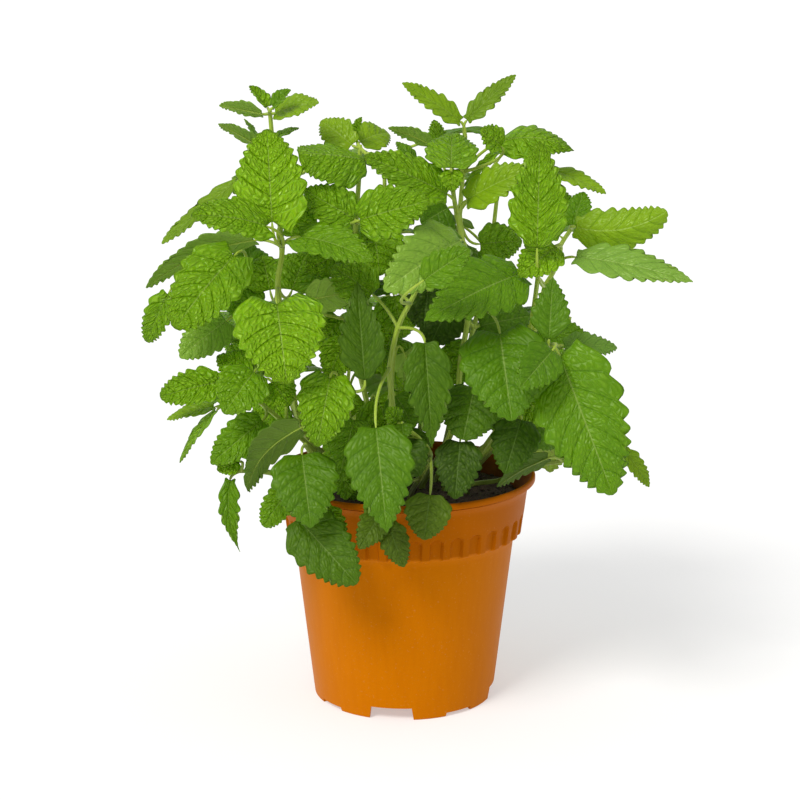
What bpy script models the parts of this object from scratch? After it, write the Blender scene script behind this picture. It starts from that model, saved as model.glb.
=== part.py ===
"""Potted lemon balm: an orange nursery pot, its soil, and leafy stems with toothed leaves.

Units are metres inside Blender; the named sizes below are in millimetres. The origin is on the ground
under the pot's axis, +Z is up, and the side that is shown faces -Y.
"""

import math
import random
from itertools import product

import bmesh
import bpy
from mathutils import Vector
from mathutils.bvhtree import BVHTree

MM = 0.001

# The pot: a 13 cm nursery pot
POT_HEIGHT = 113.5
RIM_RADIUS = 65.0
COLLAR_TOP_RADIUS = 61.2
COLLAR_FOOT_RADIUS = 58.4
COLLAR_TOP = 106.5
FLUTE_TOP = 96.0
COLLAR_FOOT = 84.5
BODY_TOP_RADIUS = 54.9
BODY_FOOT_RADIUS = 45.0
WALL = 1.3
FOOT_WIDTH = 2.4
FLOOR_UNDER = 7.4
FLOOR_TOP = 8.8
FLUTES = 36
FLUTE_DEPTH = 0.8
POT_SIDES = 2 * FLUTES
DEEP_NOTCH = (20.0, 6.3)
SHALLOW_NOTCH = (15.0, 2.0)
FIRST_NOTCH_TURN = -98.0
DRAIN_RADIUS = 3.6
DRAIN_CIRCLE = 27.0

# The soil, with a gap to the pot so that the two stay separate pieces
SOIL_TOP = 103.0
SOIL_GAP = 0.35
SOIL_SIDES = 20
SOIL_CROWN = 2.0
ROOT_DEPTH = 13.0
ROOT_HOLE_RADIUS = 2.7

# Stems and leaves
STEM_RADIUS = 1.9
STEM_TIP_RADIUS = 1.2
PETIOLE_WIDTH = 1.3
PETIOLE_THICKNESS = 1.2
BLADE_THICKNESS = 0.62
CLEARANCE = 0.35
SEED = 11

# The photograph's viewpoint, read from the ellipses of the pot's rim and foot
CAMERA = (-2.0, -970.0, 370.0)
CAMERA_TILT = math.radians(12.8)
FOCAL_PIXELS = 2023.0
PICTURE_CENTRE = 400.0


def seen_at(column, row, nearer):
    """The point, in mm, that the photograph shows at this pixel, this many mm nearer than the pot's axis."""
    right = (column - PICTURE_CENTRE) / FOCAL_PIXELS
    down = (row - PICTURE_CENTRE) / FOCAL_PIXELS
    ray = Vector(
        (
            right,
            math.cos(CAMERA_TILT) - down * math.sin(CAMERA_TILT),
            -math.sin(CAMERA_TILT) - down * math.cos(CAMERA_TILT),
        )
    )
    return Vector(CAMERA) + ray * ((-nearer - CAMERA[1]) / ray.y)


def pixel_of(point):
    """The pixel at which the photograph shows a point given in mm."""
    ray = Vector(point) - Vector(CAMERA)
    depth = ray.y * math.cos(CAMERA_TILT) - ray.z * math.sin(CAMERA_TILT)
    up = ray.y * math.sin(CAMERA_TILT) + ray.z * math.cos(CAMERA_TILT)
    return (
        PICTURE_CENTRE + FOCAL_PIXELS * ray.x / depth,
        PICTURE_CENTRE - FOCAL_PIXELS * up / depth,
    )


def leaf(node, base, tip, width, face, arch=0.12, fold=0.15, sweep=0.0, taper=0.62):
    """One leaf: the stem point it grows from, its blade's base and tip as (column, row, mm nearer), its
    width in mm, its turn in degrees from facing the camera, 90 with its upper side straight up and more with
    its underside in view, how far it arches, how far its halves fold up, how far it bends sideways and how
    fast it narrows."""
    return dict(node=node, base=base, tip=tip, width=width, face=face, arch=arch, fold=fold, sweep=sweep,
                taper=taper)


# Each stem: the place of its root on the soil in mm, the points it rises through and the leaves it bears
STEMS = {
    "stem_left_tall": dict(
        root=(-24, -6),
        through=[(303, 430, 22), (288, 350, 30), (278, 288, 36), (282, 247, 32),
                 (274, 180, 24), (272, 138, 20), (270, 113, 18)],
        leaves=[
            leaf(7, (262, 114, 18), (219, 106, 14), 14, 118, 0.05),
            leaf(7, (275, 113, 22), (319, 103, 28), 18, 56, 0.08),
            leaf(7, (267, 107, 16), (249, 86, 12), 9, 45, 0.05, 0.5),
            leaf(7, (273, 107, 20), (291, 90, 18), 9, 45, 0.05, 0.5),
            leaf(6, (256, 144, 22), (218, 124, 26), 14, 115, 0.05),
            leaf(6, (255, 138, 12), (244, 119, 2), 6, 65, 0.1),
            leaf(6, (278, 137, 16), (299, 128, 10), 9, 70, 0.1),
            leaf(4, (272, 222, 50), (267, 129, 34), 33, 0, 0.06),
            leaf(4, (284, 224, 38), (318, 212, 32), 19, 20, 0.1),
            leaf(4, (266, 226, 52), (191, 216, 64), 25, 46, 0.12),
            leaf(4, (301, 237, 46), (373, 262, 66), 23, 42, 0.14),
            leaf(5, (236, 182, 12), (162, 244, 22), 17, 50, 0.02, 0.15, 0.0, 0.45),
            leaf(4, (254, 240, 22), (146, 288, 28), 18, 124, 0.26, 0.15, 0.1),
            leaf(3, (277, 304, 54), (287, 385, 84), 42, 0, 0.14),
            leaf(1, (300, 428, 48), (247, 489, 62), 24, 128, 0.3, 0.15, 0.0, 0.4),
            leaf(3, (292, 290, 18), (308, 252, 6), 24, 20, 0.1),
            leaf(3, (270, 290, 14), (262, 256, 2), 20, 10, 0.1),
            leaf(2, (300, 345, 20), (322, 318, 12), 22, 20, 0.1),
        ],
    ),
    "stem_left_back": dict(
        root=(-27, 4),
        through=[(306, 440, 0), (276, 350, 2), (252, 290, 8), (246, 268, 12)],
        leaves=[
            leaf(4, (234, 256, 34), (175, 329, 54), 38, 20, 0.12, 0.15, 0.0, 0.5),
            leaf(4, (168, 294, 2), (147, 342, 0), 18, 15, 0.1, 0.15, 0.0, 0.45),
            leaf(3, (226, 321, 34), (180, 358, 46), 21, 15, 0.1),
            leaf(4, (252, 284, 4), (248, 243, -8), 24, 20, 0.1),
            leaf(3, (262, 306, 10), (222, 300, 2), 22, 30, 0.1),
            leaf(2, (262, 350, 2), (226, 352, -6), 22, 30, 0.1),
            leaf(1, (284, 405, 0), (256, 440, -4), 24, 20, 0.1),
        ],
    ),
    "stem_left_low": dict(
        root=(-30, -12),
        through=[(318, 455, 30), (286, 425, 42), (262, 404, 48), (242, 392, 50)],
        leaves=[
            leaf(4, (219, 382, 54), (160, 397, 62), 20, 18, 0.1, 0.15, 0.0, 0.45),
            leaf(4, (214, 407, 44), (167, 420, 48), 12, 60, 0.08),
            leaf(4, (216, 411, 56), (180, 463, 62), 11, 68, 0.08),
            leaf(3, (262, 421, 60), (211, 464, 74), 19, 8, 0.12),
            leaf(4, (254, 372, 62), (224, 414, 76), 25, 10, 0.12),
            leaf(4, (248, 376, 36), (217, 356, 32), 16, 20, 0.1),
            leaf(3, (272, 382, 60), (290, 406, 66), 17, 15, 0.1),
            leaf(2, (280, 402, 34), (262, 432, 40), 20, 15, 0.1),
        ],
    ),
    "stem_left_spray": dict(
        root=(-27, -20),
        through=[(322, 484, 44), (288, 473, 52), (262, 472, 57), (241, 471, 60)],
        leaves=[
            leaf(4, (239, 462, 64), (217, 470, 70), 10, 5, 0.1, 0.3),
            leaf(4, (230, 480, 62), (240, 552, 66), 10, 10, 0.05, 0.3, 0.16, 1.5),
            leaf(3, (288, 490, 54), (264, 527, 60), 18, 10, 0.1, 0.15, 0.0, 0.45),
        ],
    ),
    "stem_front_left": dict(
        root=(-16, -26),
        through=[(334, 486, 46), (316, 462, 54), (306, 446, 58)],
        leaves=[
            leaf(3, (302, 455, 70), (311, 528, 88), 31, 0, 0.14),
            leaf(1, (298, 519, 70), (357, 584, 84), 28, 0, 0.1, 0.15, 0.0, 0.5),
            leaf(1, (323, 508, 60), (345, 539, 66), 12, 15, 0.1),
            leaf(2, (340, 450, 44), (346, 500, 50), 16, 5, 0.1),
        ],
    ),
    "stem_peak_left": dict(
        root=(-12, 3),
        through=[(372, 425, 6), (350, 320, 10), (356, 222, 20), (359, 178, 16), (360, 148, 14)],
        leaves=[
            leaf(5, (365, 160, 26), (298, 153, 42), 31, 40, 0.06, -0.5, 0.0, 0.38),
            leaf(5, (352, 145, 14), (321, 121, 2), 16, 15, 0.1),
            leaf(5, (360, 142, 8), (388, 133, -8), 17, 30, 0.15),
            leaf(5, (356, 131, 12), (362, 117, 10), 5, 30, 0.1, 0.3),
            leaf(3, (354, 219, 36), (304, 190, 44), 21, 8, 0.1),
            leaf(3, (360, 220, 44), (430, 201, 58), 25, 12, 0.12),
            leaf(3, (345, 250, 10), (306, 272, 18), 22, 10, 0.12),
            leaf(2, (308, 300, 38), (357, 292, 46), 18, 158, 0.09),
            leaf(3, (374, 232, 12), (380, 276, 24), 27, 5, 0.12),
            leaf(2, (340, 318, 4), (320, 350, 12), 22, 10, 0.1),
            leaf(2, (362, 318, 0), (384, 350, -8), 24, 10, 0.1),
            leaf(1, (366, 405, 0), (340, 430, -4), 22, 10, 0.1),
            leaf(1, (376, 398, 2), (394, 430, 6), 22, 5, 0.1),
        ],
    ),
    "stem_front_middle": dict(
        root=(-12, -17),
        through=[(354, 470, 32), (350, 430, 42), (347, 390, 50)],
        leaves=[
            leaf(3, (330, 378, 66), (317, 447, 84), 26, 0, 0.12),
            leaf(3, (345, 340, 54), (328, 378, 62), 18, 5, 0.1),
            leaf(3, (365, 380, 62), (357, 281, 50), 22, 0, 0.05, 0.3),
            leaf(2, (354, 420, 52), (338, 482, 64), 24, 0, 0.12),
            leaf(1, (366, 470, 40), (352, 500, 46), 15, 5, 0.1),
        ],
    ),
    "stem_centre": dict(
        root=(-4, -13),
        through=[(391, 450, 38), (392, 405, 43), (390, 368, 45), (398, 328, 46),
                 (410, 303, 42), (420, 284, 38), (441, 249, 32)],
        leaves=[
            leaf(3, (376, 428, 78), (387, 533, 98), 31, 0, 0.1),
            leaf(4, (425, 343, 58), (432, 448, 66), 23, 8, 0.06, 0.3, 0.0, 1.15),
            leaf(4, (372, 294, 34), (332, 266, 22), 22, 15, 0.12),
            leaf(5, (424, 280, 78), (470, 249, 82), 16, 5, 0.1),
            leaf(7, (460, 241, 40), (384, 291, 70), 31, 8, 0.22),
            leaf(2, (404, 352, 26), (418, 384, 32), 17, 165, 0.1),
            leaf(5, (394, 296, 26), (404, 338, 34), 22, 5, 0.1),
            leaf(6, (428, 292, 26), (424, 330, 32), 22, 8, 0.1),
            leaf(1, (402, 430, 24), (410, 474, 30), 19, 5, 0.1),
            leaf(1, (396, 396, 26), (414, 428, 32), 20, 10, 0.1),
        ],
    ),
    "stem_peak_front": dict(
        root=(9, -4),
        through=[(452, 430, 12), (461, 360, 14), (468, 312, 16), (464, 250, 16),
                 (457, 215, 18), (453, 190, 20), (452, 170, 21)],
        leaves=[
            leaf(7, (451, 168, 30), (452, 133, -2), 25, 0, 0.05),
            leaf(6, (441, 154, -2), (434, 120, -12), 10, 10, 0.05),
            leaf(7, (452, 170, 32), (452, 192, 42), 11, 0, 0.1),
            leaf(5, (447, 194, 26), (364, 156, 36), 22, 30, 0.06),
            leaf(5, (467, 200, 22), (535, 168, 30), 19, 30, 0.12),
            leaf(4, (462, 240, 24), (436, 230, 32), 9, 60, 0.1),
            leaf(3, (500, 334, 58), (512, 421, 84), 40, 0, 0.14),
            leaf(1, (474, 388, 44), (463, 440, 58), 29, 0, 0.16, 0.15, 0.0, 0.45),
            leaf(3, (452, 300, 4), (430, 346, 14), 26, 5, 0.12),
            leaf(3, (480, 326, 8), (530, 316, 0), 25, 10, 0.1),
            leaf(2, (472, 345, 2), (450, 384, 10), 24, 5, 0.1),
            leaf(1, (474, 392, 4), (506, 424, 8), 24, 10, 0.1),
        ],
    ),
    "stem_peak_back": dict(
        root=(3, 8),
        through=[(438, 420, -14), (450, 330, -16), (457, 245, -12), (460, 210, -8),
                 (463, 172, -6), (465, 137, -6)],
        leaves=[
            leaf(6, (460, 121, -4), (402, 83, 2), 14, 36, 0.06),
            leaf(6, (467, 120, -6), (516, 75, -10), 13, 30, 0.05),
            leaf(5, (432, 145, 0), (388, 128, 4), 13, 122, 0.08),
            leaf(5, (503, 141, 0), (574, 151, 4), 22, 40, 0.34, -0.3),
            leaf(5, (501, 146, 10), (480, 129, 18), 14, 25, 0.1),
            leaf(4, (499, 151, -16), (464, 187, -22), 7, 50, 0.05),
            leaf(4, (448, 208, -12), (421, 224, -4), 23, 8, 0.1),
            leaf(4, (480, 244, -12), (522, 241, -20), 20, 12, 0.1),
            leaf(5, (414, 161, -6), (396, 142, -12), 8, 40, 0.1),
            leaf(3, (440, 262, -20), (410, 272, -26), 24, 10, 0.1),
            leaf(3, (476, 262, -22), (506, 276, -28), 22, 10, 0.1),
        ],
    ),
    "stem_right_tall": dict(
        root=(20, -4),
        through=[(497, 440, 10), (522, 372, 16), (539, 312, 20), (545, 287, 22),
                 (553, 272, 22), (560, 247, 20), (571, 229, 16)],
        leaves=[
            leaf(4, (520, 274, 44), (424, 321, 82), 31, 20, 0.12),
            leaf(5, (556, 247, 38), (519, 277, 52), 20, 18, 0.12),
            leaf(4, (537, 248, 52), (540, 141, 46), 25, 0, 0.05),
            leaf(7, (573, 226, 12), (584, 192, 2), 14, 10, 0.1),
            leaf(7, (576, 227, 24), (667, 211, 34), 21, 0, 0.05, -0.3, 0.22, 0.45),
            leaf(5, (576, 257, 38), (693, 282, 60), 20, 40, 0.08),
            
        ],
    ),
    "stem_right_back": dict(
        root=(16, 12),
        through=[(508, 425, -22), (530, 330, -24), (541, 250, -18), (548, 182, -12)],
        leaves=[
            leaf(4, (554, 171, -6), (606, 194, 2), 12, 52, 0.08),
            leaf(3, (560, 236, -12), (541, 226, -20), 11, 20, 0.1),
            leaf(4, (562, 218, -8), (560, 188, -16), 13, 15, 0.1),
            leaf(2, (546, 330, -28), (590, 340, -34), 22, 15, 0.05),
            leaf(1, (520, 392, -24), (548, 424, -28), 24, 10, 0.1),
            leaf(1, (532, 418, -10), (560, 446, -6), 22, 10, 0.1),
        ],
    ),
    "stem_right_front": dict(
        root=(24, -15),
        through=[(471, 466, 26), (500, 425, 36), (530, 385, 46), (548, 346, 52)],
        leaves=[
            leaf(4, (549, 339, 62), (553, 277, 52), 18, 0, 0.05),
            leaf(4, (564, 345, 42), (617, 348, 30), 16, 30, 0.08),
            leaf(4, (560, 356, 66), (613, 495, 86), 41, 0, 0.1, 0.12, 0.0, 0.46),
            leaf(4, (552, 351, 70), (519, 389, 84), 20, 0, 0.1),
            leaf(2, (521, 420, 44), (505, 474, 54), 23, 0, 0.14),
            leaf(1, (460, 442, 54), (455, 499, 66), 19, 0, 0.12),
        ],
    ),
    "stem_right_low": dict(
        root=(31, -8),
        through=[(500, 480, 24), (532, 466, 32), (562, 461, 36), (592, 452, 38)],
        leaves=[
            leaf(3, (548, 458, 42), (497, 487, 46), 14, 125, 0.12),
            leaf(4, (624, 450, 42), (649, 487, 44), 9, 25, 0.12),
            leaf(4, (600, 440, 30), (606, 400, 22), 20, 15, 0.1),
        ],
    ),
    "stem_front_low": dict(
        root=(3, -24),
        through=[(420, 478, 46), (430, 455, 52), (418, 438, 50), (404, 427, 48)],
        leaves=[
            leaf(2, (430, 495, 70), (424, 540, 76), 22, 0, 0.06),
            leaf(4, (398, 422, 52), (386, 408, 58), 10, 15, 0.1),
            leaf(4, (402, 424, 54), (404, 440, 62), 10, 0, 0.1),
            leaf(1, (384, 508, 68), (359, 549, 76), 15, 0, 0.1),
            leaf(1, (388, 524, 70), (404, 567, 76), 14, 0, 0.1),
            leaf(3, (400, 446, 54), (420, 476, 62), 19, 5, 0.1),
        ],
    ),
}

# Stems behind, in mm from the pot's axis, whose leaves are set by the rule in back_leaves
BACK_STEMS = {
    "stem_rear_left": dict(root=(-20, 20), through=[(-30, 32, 150), (-46, 44, 205), (-54, 48, 254)]),
    "stem_rear_middle": dict(root=(-4, 27), through=[(-6, 38, 155), (-9, 48, 212), (-10, 52, 264)]),
    "stem_rear_right": dict(root=(18, 23), through=[(28, 34, 150), (42, 46, 205), (48, 50, 252)]),
    "stem_rear_low_left": dict(root=(-32, 17), through=[(-54, 26, 130), (-74, 36, 156), (-82, 40, 182)]),
    "stem_rear_low_right": dict(root=(33, 14), through=[(54, 26, 128), (76, 38, 156), (84, 42, 182)]),
    "stem_rear_low": dict(root=(6, 34), through=[(9, 48, 128), (12, 60, 152), (12, 66, 178)]),
}
BACK_REACH = 100.5
SIDE_REACH = 128.5
CORNER_REACH = 184.0
TALL_BACK_LEAVES = ((0.9, 48, 0.5), (1.5, 52, 0.42), (2.2, 50, 0.32), (3.0, 38, 0.12))
LOW_BACK_LEAVES = ((1.0, 48, 0.55), (1.9, 48, 0.45), (2.9, 44, 0.3))
BACK_STALKS = (0.36, 0.62, 0.2)
BACK_TURNS = (0, 25, -25, 50, -50, 75, -75)
BACK_PITCHES = (10, -15, 30, -35)

# The outline inside which the photograph shows foliage, and the gaps in it that show no foliage
CROWN = [(219, 96), (249, 84), (292, 88), (320, 100), (312, 116), (284, 118), (300, 126), (284, 140), (292, 160),
         (299, 146), (322, 118), (362, 116), (388, 126), (420, 126), (436, 118), (452, 126), (402, 80),
         (462, 108), (516, 72), (512, 90), (475, 122), (508, 118), (542, 126), (575, 148), (556, 156),
         (606, 192), (584, 190), (588, 212), (668, 206), (650, 232), (644, 246), (694, 281), (640, 276),
         (572, 268), (572, 318), (618, 342), (604, 356), (628, 410), (626, 446), (650, 488), (612, 494),
         (536, 476), (300, 520), (240, 556), (214, 490), (176, 466), (200, 412), (166, 420), (158, 400),
         (200, 362), (226, 360), (178, 360), (186, 328), (146, 344), (140, 338), (164, 290), (143, 286),
         (168, 244), (164, 232), (236, 164), (238, 150), (216, 124), (250, 132), (218, 112)]
GAPS = [(322, 170, 400, 200), (226, 233, 254, 258), (466, 204, 510, 224), (520, 279, 546, 304),
        (556, 232, 582, 258), (380, 138, 424, 162), (476, 160, 520, 170), (292, 120, 320, 146),
        (560, 172, 602, 216), (184, 240, 200, 250)]

OFFSETS = [(0, 0), (0, 5), (0, -5), (4, 8), (-4, -8), (5, 5), (-5, -5), (0, 10), (0, -10), (8, 14),
           (-8, -14), (10, 10), (-10, -10), (0, 16), (0, -16), (12, 20), (-12, -20), (6, -8), (-6, 8)]


def settled_pose(row, root, base_shift=0.0, tip_shift=0.0):
    """A leaf of the tables in mm: its root on the stem, its blade's base and tip, and its spine's control point."""
    base = seen_at(row["base"][0], row["base"][1], row["base"][2] + base_shift)
    tip = seen_at(row["tip"][0], row["tip"][1], row["tip"][2] + tip_shift)
    along = (tip - base).normalized()
    viewer = Vector(CAMERA) - (base + tip) / 2
    viewer = (viewer - along * viewer.dot(along)).normalized()
    above = along.cross(viewer)
    if above.z < 0:
        above = -above
    turn = math.radians(row["face"])
    face = viewer * math.cos(turn) + above * math.sin(turn)
    return blade_pose(root, base, tip, row["width"], face, row["arch"], row["fold"], row["sweep"], row["taper"])


def blade_pose(root, base, tip, width, face, arch, fold, sweep=0.0, taper=0.62):
    """A leaf's curve and turn in mm, from the way its upper side faces."""
    chord = tip - base
    along = chord.normalized()
    upper = (face - along * face.dot(along)).normalized()
    control = (base + tip) / 2 + upper * (arch * chord.length) + along.cross(upper) * (sweep * chord.length)
    return dict(root=root, base=base, tip=tip, control=control, upper=upper, width=width, fold=fold,
                length=chord.length, taper=taper)


def spine(pose, t):
    """The midrib's point at t, with the way along it, to its right and out of its upper side."""
    base, control, tip = pose["base"], pose["control"], pose["tip"]
    point = base * (1 - t) ** 2 + control * (2 * t * (1 - t)) + tip * t ** 2
    along = ((control - base) * (1 - t) + (tip - control) * t).normalized()
    upper = (pose["upper"] - along * pose["upper"].dot(along)).normalized()
    return point, along, along.cross(upper), upper


def blade_outline(t, taper):
    """Half the blade's width at t, as a share of the half width: broad near the base, narrow at the tip."""
    wave = math.sin(math.pi * t ** 0.62)
    return wave ** (0.62 if t < 0.33 else taper)


def blade_point(pose, t, across, reach=1.0):
    """A point of the blade's middle surface: t along it, across from -1 to 1, reach past its plain outline."""
    point, along, right, upper = spine(pose, t)
    half = pose["width"] / 2 * blade_outline(t, pose["taper"]) * reach * across
    lobe = -0.2 * pose["length"] * abs(across) ** 1.5 * (1 - t) ** 4 * min(1.0, t * 8)
    rise = abs(half) * math.sin(pose["fold"])
    return point + right * (half * math.cos(pose["fold"])) + upper * rise + along * lobe, upper


def teeth_of(pose):
    """How many teeth the solid's blade has on each side."""
    if pose["length"] > 49:
        return 4
    return 3 if pose["length"] > 34 else 2


def petiole_path(pose):
    """Points and directions of the leaf's stalk from inside the stem to the blade, and the way to its right."""
    _, along, right, _ = spine(pose, 0.0)
    root, base = pose["root"], pose["base"]
    root = root - (base - root).normalized() * pose["sunk"]
    gap = (base - root).length
    bend = base - along * (gap * 0.45)
    steps = 3 if gap > 36 else 2 if gap > 15 else 1
    rows = []
    for step in range(steps + 1):
        t = step / steps
        point = root * (1 - t) ** 2 + bend * (2 * t * (1 - t)) + base * t ** 2
        way = ((bend - root) * (1 - t) + (base - bend) * t).normalized()
        side = (right - way * right.dot(way)).normalized()
        rows.append((point, side, side.cross(way)))
    return rows


def leaf_sheet(pose, stalk=True, grow=0.0):
    """The leaf as triangles on a middle surface: points, half-thickness vectors and triangles."""
    points, offsets, triangles = [], [], []

    def add(point, offset):
        points.append(point)
        offsets.append(offset)
        return len(points) - 1

    thick = BLADE_THICKNESS / 2 + grow
    rows = petiole_path(pose) if stalk else petiole_path(pose)[-1:]
    pairs = []
    for point, side, upper in rows:
        half = PETIOLE_WIDTH / 2 + grow
        rise = upper * (PETIOLE_THICKNESS / 2 + grow)
        pairs.append((add(point - side * half, rise), add(point + side * half, rise)))
    for (left, right), (next_left, next_right) in zip(pairs, pairs[1:]):
        triangles.append((left, right, next_right))
        triangles.append((left, next_right, next_left))
    teeth = teeth_of(pose)
    middles = []
    for t in (0.14, 0.42, 0.72) if teeth > 3 else (0.2, 0.6) if teeth > 2 else (0.4,):
        point, _, _, upper = spine(pose, t)
        middles.append(add(point, upper * thick))
    point, _, _, upper = spine(pose, 1.0)
    tip = add(point, upper * thick)
    triangles.append((pairs[-1][0], pairs[-1][1], middles[0]))
    for side in (-1, 1):
        edge = [pairs[-1][0 if side < 0 else 1]]
        for tooth in range(teeth):
            crest = 0.04 + 0.93 * (tooth + 0.62) / teeth
            if tooth == 0 and teeth > 3:
                edge.append(add(*scaled(blade_point(pose, 0.04, side), thick)))
            edge.append(add(*scaled(blade_point(pose, crest, side, 1.04), thick)))
            if tooth < teeth - 1:
                notch = 0.04 + 0.93 * (tooth + 0.94) / teeth
                edge.append(add(*scaled(blade_point(pose, notch, side, 0.9), thick)))
        edge.append(tip)
        triangles += strip(edge, middles + [tip], side)
    return points, offsets, triangles


def scaled(point_and_upper, thick):
    point, upper = point_and_upper
    return point, upper * thick


def strip(edge, middle, side):
    """Triangles between the blade's edge and its midrib, both from base to tip."""
    found = []
    outer, inner = 0, 0
    while outer < len(edge) - 1 or inner < len(middle) - 1:
        outer_share = (outer + 1) / len(edge)
        inner_share = (inner + 1) / len(middle)
        on_edge = inner == len(middle) - 1 or (outer < len(edge) - 1 and outer_share <= inner_share)
        if on_edge:
            corners = (edge[outer], edge[outer + 1], middle[inner])
            outer += 1
        else:
            corners = (edge[outer], middle[inner + 1], middle[inner])
            inner += 1
        if len(set(corners)) == 3:
            found.append(corners if side > 0 else corners[::-1])
    return found


def thickened(points, offsets, triangles):
    """The closed skin of a sheet: its vertices and triangles, split alike on both faces."""
    count = len(points)
    vertices = [p + o for p, o in zip(points, offsets)] + [p - o for p, o in zip(points, offsets)]
    faces = triangles + [tuple(i + count for i in reversed(t)) for t in triangles]
    edges = {}
    for a, b, c in triangles:
        for pair in ((a, b), (b, c), (c, a)):
            edges[pair] = True
    for a, b in edges:
        if (b, a) not in edges:
            faces.append((b, a, a + count))
            faces.append((b, a + count, b + count))
    return vertices, faces


def tree_of(vertices, faces):
    return BVHTree.FromPolygons([tuple(v) for v in vertices], faces)


def stem_knots(root, through):
    """The stem's points in mm: its foot in the soil, its collar above it and the points it rises through."""
    return [Vector((root[0], root[1], SOIL_TOP - ROOT_DEPTH)), Vector((root[0], root[1], SOIL_TOP + 4))] + through


def node_point(knots, node):
    """The stem's point number node: 0 is its collar, and each point it rises through counts one."""
    ends = knots + [knots[-1] * 2 - knots[-2]]
    low = min(int(node), len(knots) - 3)
    return catmull_rom(ends[low], ends[low + 1], ends[low + 2], ends[low + 3], node - low)


def stem_line(knots):
    """The stem's centreline: straight out of the soil, then smooth through its points."""
    line = [knots[0], knots[1]]
    for node in range(len(knots) - 2):
        middle = node_point(knots, node + 0.5)
        if (middle - (knots[node + 1] + knots[node + 2]) / 2).length > 0.6:
            line.append(middle)
        line.append(knots[node + 2])
    return line + [line[-1] + (line[-1] - line[-2]).normalized() * 1.6]


def catmull_rom(before, here, after, beyond, t):
    return 0.5 * (
        here * 2
        + (after - before) * t
        + (before * 2 - here * 5 + after * 4 - beyond) * t ** 2
        + (here * 3 - before - after * 3 + beyond) * t ** 3
    )


def tube_skin(line, radius_start, radius_end, sides=4):
    """A plain tube round a line, for the tests of what crosses what."""
    vertices, faces = [], []
    for i, point in enumerate(line):
        way = (line[min(i + 1, len(line) - 1)] - line[max(i - 1, 0)]).normalized()
        side = way.cross(Vector((0, 1, 0.1))).normalized()
        radius = radius_start + (radius_end - radius_start) * i / (len(line) - 1)
        for k in range(sides):
            turn = 2 * math.pi * k / sides
            vertices.append(point + (side * math.cos(turn) + way.cross(side) * math.sin(turn)) * radius)
    for i in range(len(line) - 1):
        for k in range(sides):
            a, b = i * sides + k, i * sides + (k + 1) % sides
            faces.append((a, b, b + sides, a + sides))
    return vertices, faces


def pot_guard():
    """A coarse pot and soil that no leaf may cross."""
    ring = []
    for radius, height in ((46.5, 0), (56, 83), (60, 84), (63, 106), (66.5, 108), (66.5, 114.5),
                           (60, 114.5), (59, SOIL_TOP + 3.5), (0.1, SOIL_TOP + 3.5)):
        ring.append([Vector((radius * math.cos(a * math.pi / 16), radius * math.sin(a * math.pi / 16), height))
                     for a in range(32)])
    vertices = [v for row in ring for v in row]
    faces = []
    for i in range(len(ring) - 1):
        for k in range(32):
            a, b = i * 32 + k, i * 32 + (k + 1) % 32
            faces.append((a, b, b + 32, a + 32))
    return tree_of(vertices, faces)


class Plant:
    """Places the leaves one after another, each clear of all that is there."""

    def __init__(self):
        self.guard = pot_guard()
        self.knots = {}
        self.lines = {}
        self.stem_trees = {}
        self.placed = []

    def add_stem(self, name, root, through):
        self.knots[name] = stem_knots(root, through)
        line = self.lines[name] = stem_line(self.knots[name])
        self.stem_trees[name] = tree_of(*tube_skin(line, STEM_RADIUS + 0.5, STEM_TIP_RADIUS + 0.5))

    def sunk(self, name, pose):
        """Gives a leaf's stalk its own depth in the stem, so that no two stalks start at one place."""
        same = sum(1 for other in self.placed if other["stem"] == name)
        pose["sunk"] = 0.2 + 0.037 * same
        return pose

    def clear(self, name, pose):
        """The leaf's trees if it crosses nothing, else None."""
        whole = tree_of(*thickened(*leaf_sheet(pose, True, CLEARANCE)))
        if whole.overlap(self.guard):
            return None
        blade = tree_of(*thickened(*leaf_sheet(pose, False, CLEARANCE)))
        for stem, tree in self.stem_trees.items():
            if (blade if stem == name else whole).overlap(tree):
                return None
        low = [min(p[i] for p in (pose["root"], pose["base"], pose["tip"])) for i in range(3)]
        high = [max(p[i] for p in (pose["root"], pose["base"], pose["tip"])) for i in range(3)]
        reach = pose["width"] / 2 + 8
        for other in self.placed:
            gap = max(max(a - d, c - b) for a, b, c, d in zip(low, high, other["low"], other["high"]))
            if gap > reach + other["reach"]:
                continue
            mine, theirs = (blade, other["blade"]) if other["stem"] == name else (whole, other["whole"])
            if mine.overlap(theirs):
                return None
            if other["stem"] == name and whole.overlap(other["blade"]):
                return None
        return dict(stem=name, pose=pose, whole=whole, blade=blade, low=low, high=high, reach=reach)

    def set_leaf(self, name, row):
        """Sets one leaf of the tables, moved along the line of sight until it is clear."""
        root = node_point(self.knots[name], row["node"])
        for base_shift, tip_shift in OFFSETS:
            found = self.clear(name, self.sunk(name, settled_pose(row, root, base_shift, tip_shift)))
            if found:
                self.placed.append(found)
                return True
        return False

    def set_back_leaf(self, name, node, turn, length, droop, draw):
        """Sets one leaf of a rear stem by the rule: outwards, turned and tilted until it is clear."""
        root = node_point(self.knots[name], node)
        lean = draw.uniform(-8, 8)
        for shrink, stalk, pitch, extra in product((1.0, 0.86, 0.72), BACK_STALKS, BACK_PITCHES, BACK_TURNS):
            angle = math.radians(turn + extra + lean)
            rise = math.radians(pitch)
            way = Vector((math.cos(angle) * math.cos(rise), math.sin(angle) * math.cos(rise), math.sin(rise)))
            base = root + way * (length * shrink * stalk) + Vector((0, 0, length * 0.12))
            tip = base + way * (length * shrink) - Vector((0, 0, length * droop))
            pose = blade_pose(root, base, tip, length * shrink * 0.76, Vector((0, 0, 1)) + way * 0.4, 0.18, 0.12)
            if not in_crown(pose):
                continue
            found = self.clear(name, self.sunk(name, pose))
            if found:
                self.placed.append(found)
                return True
        return False


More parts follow.
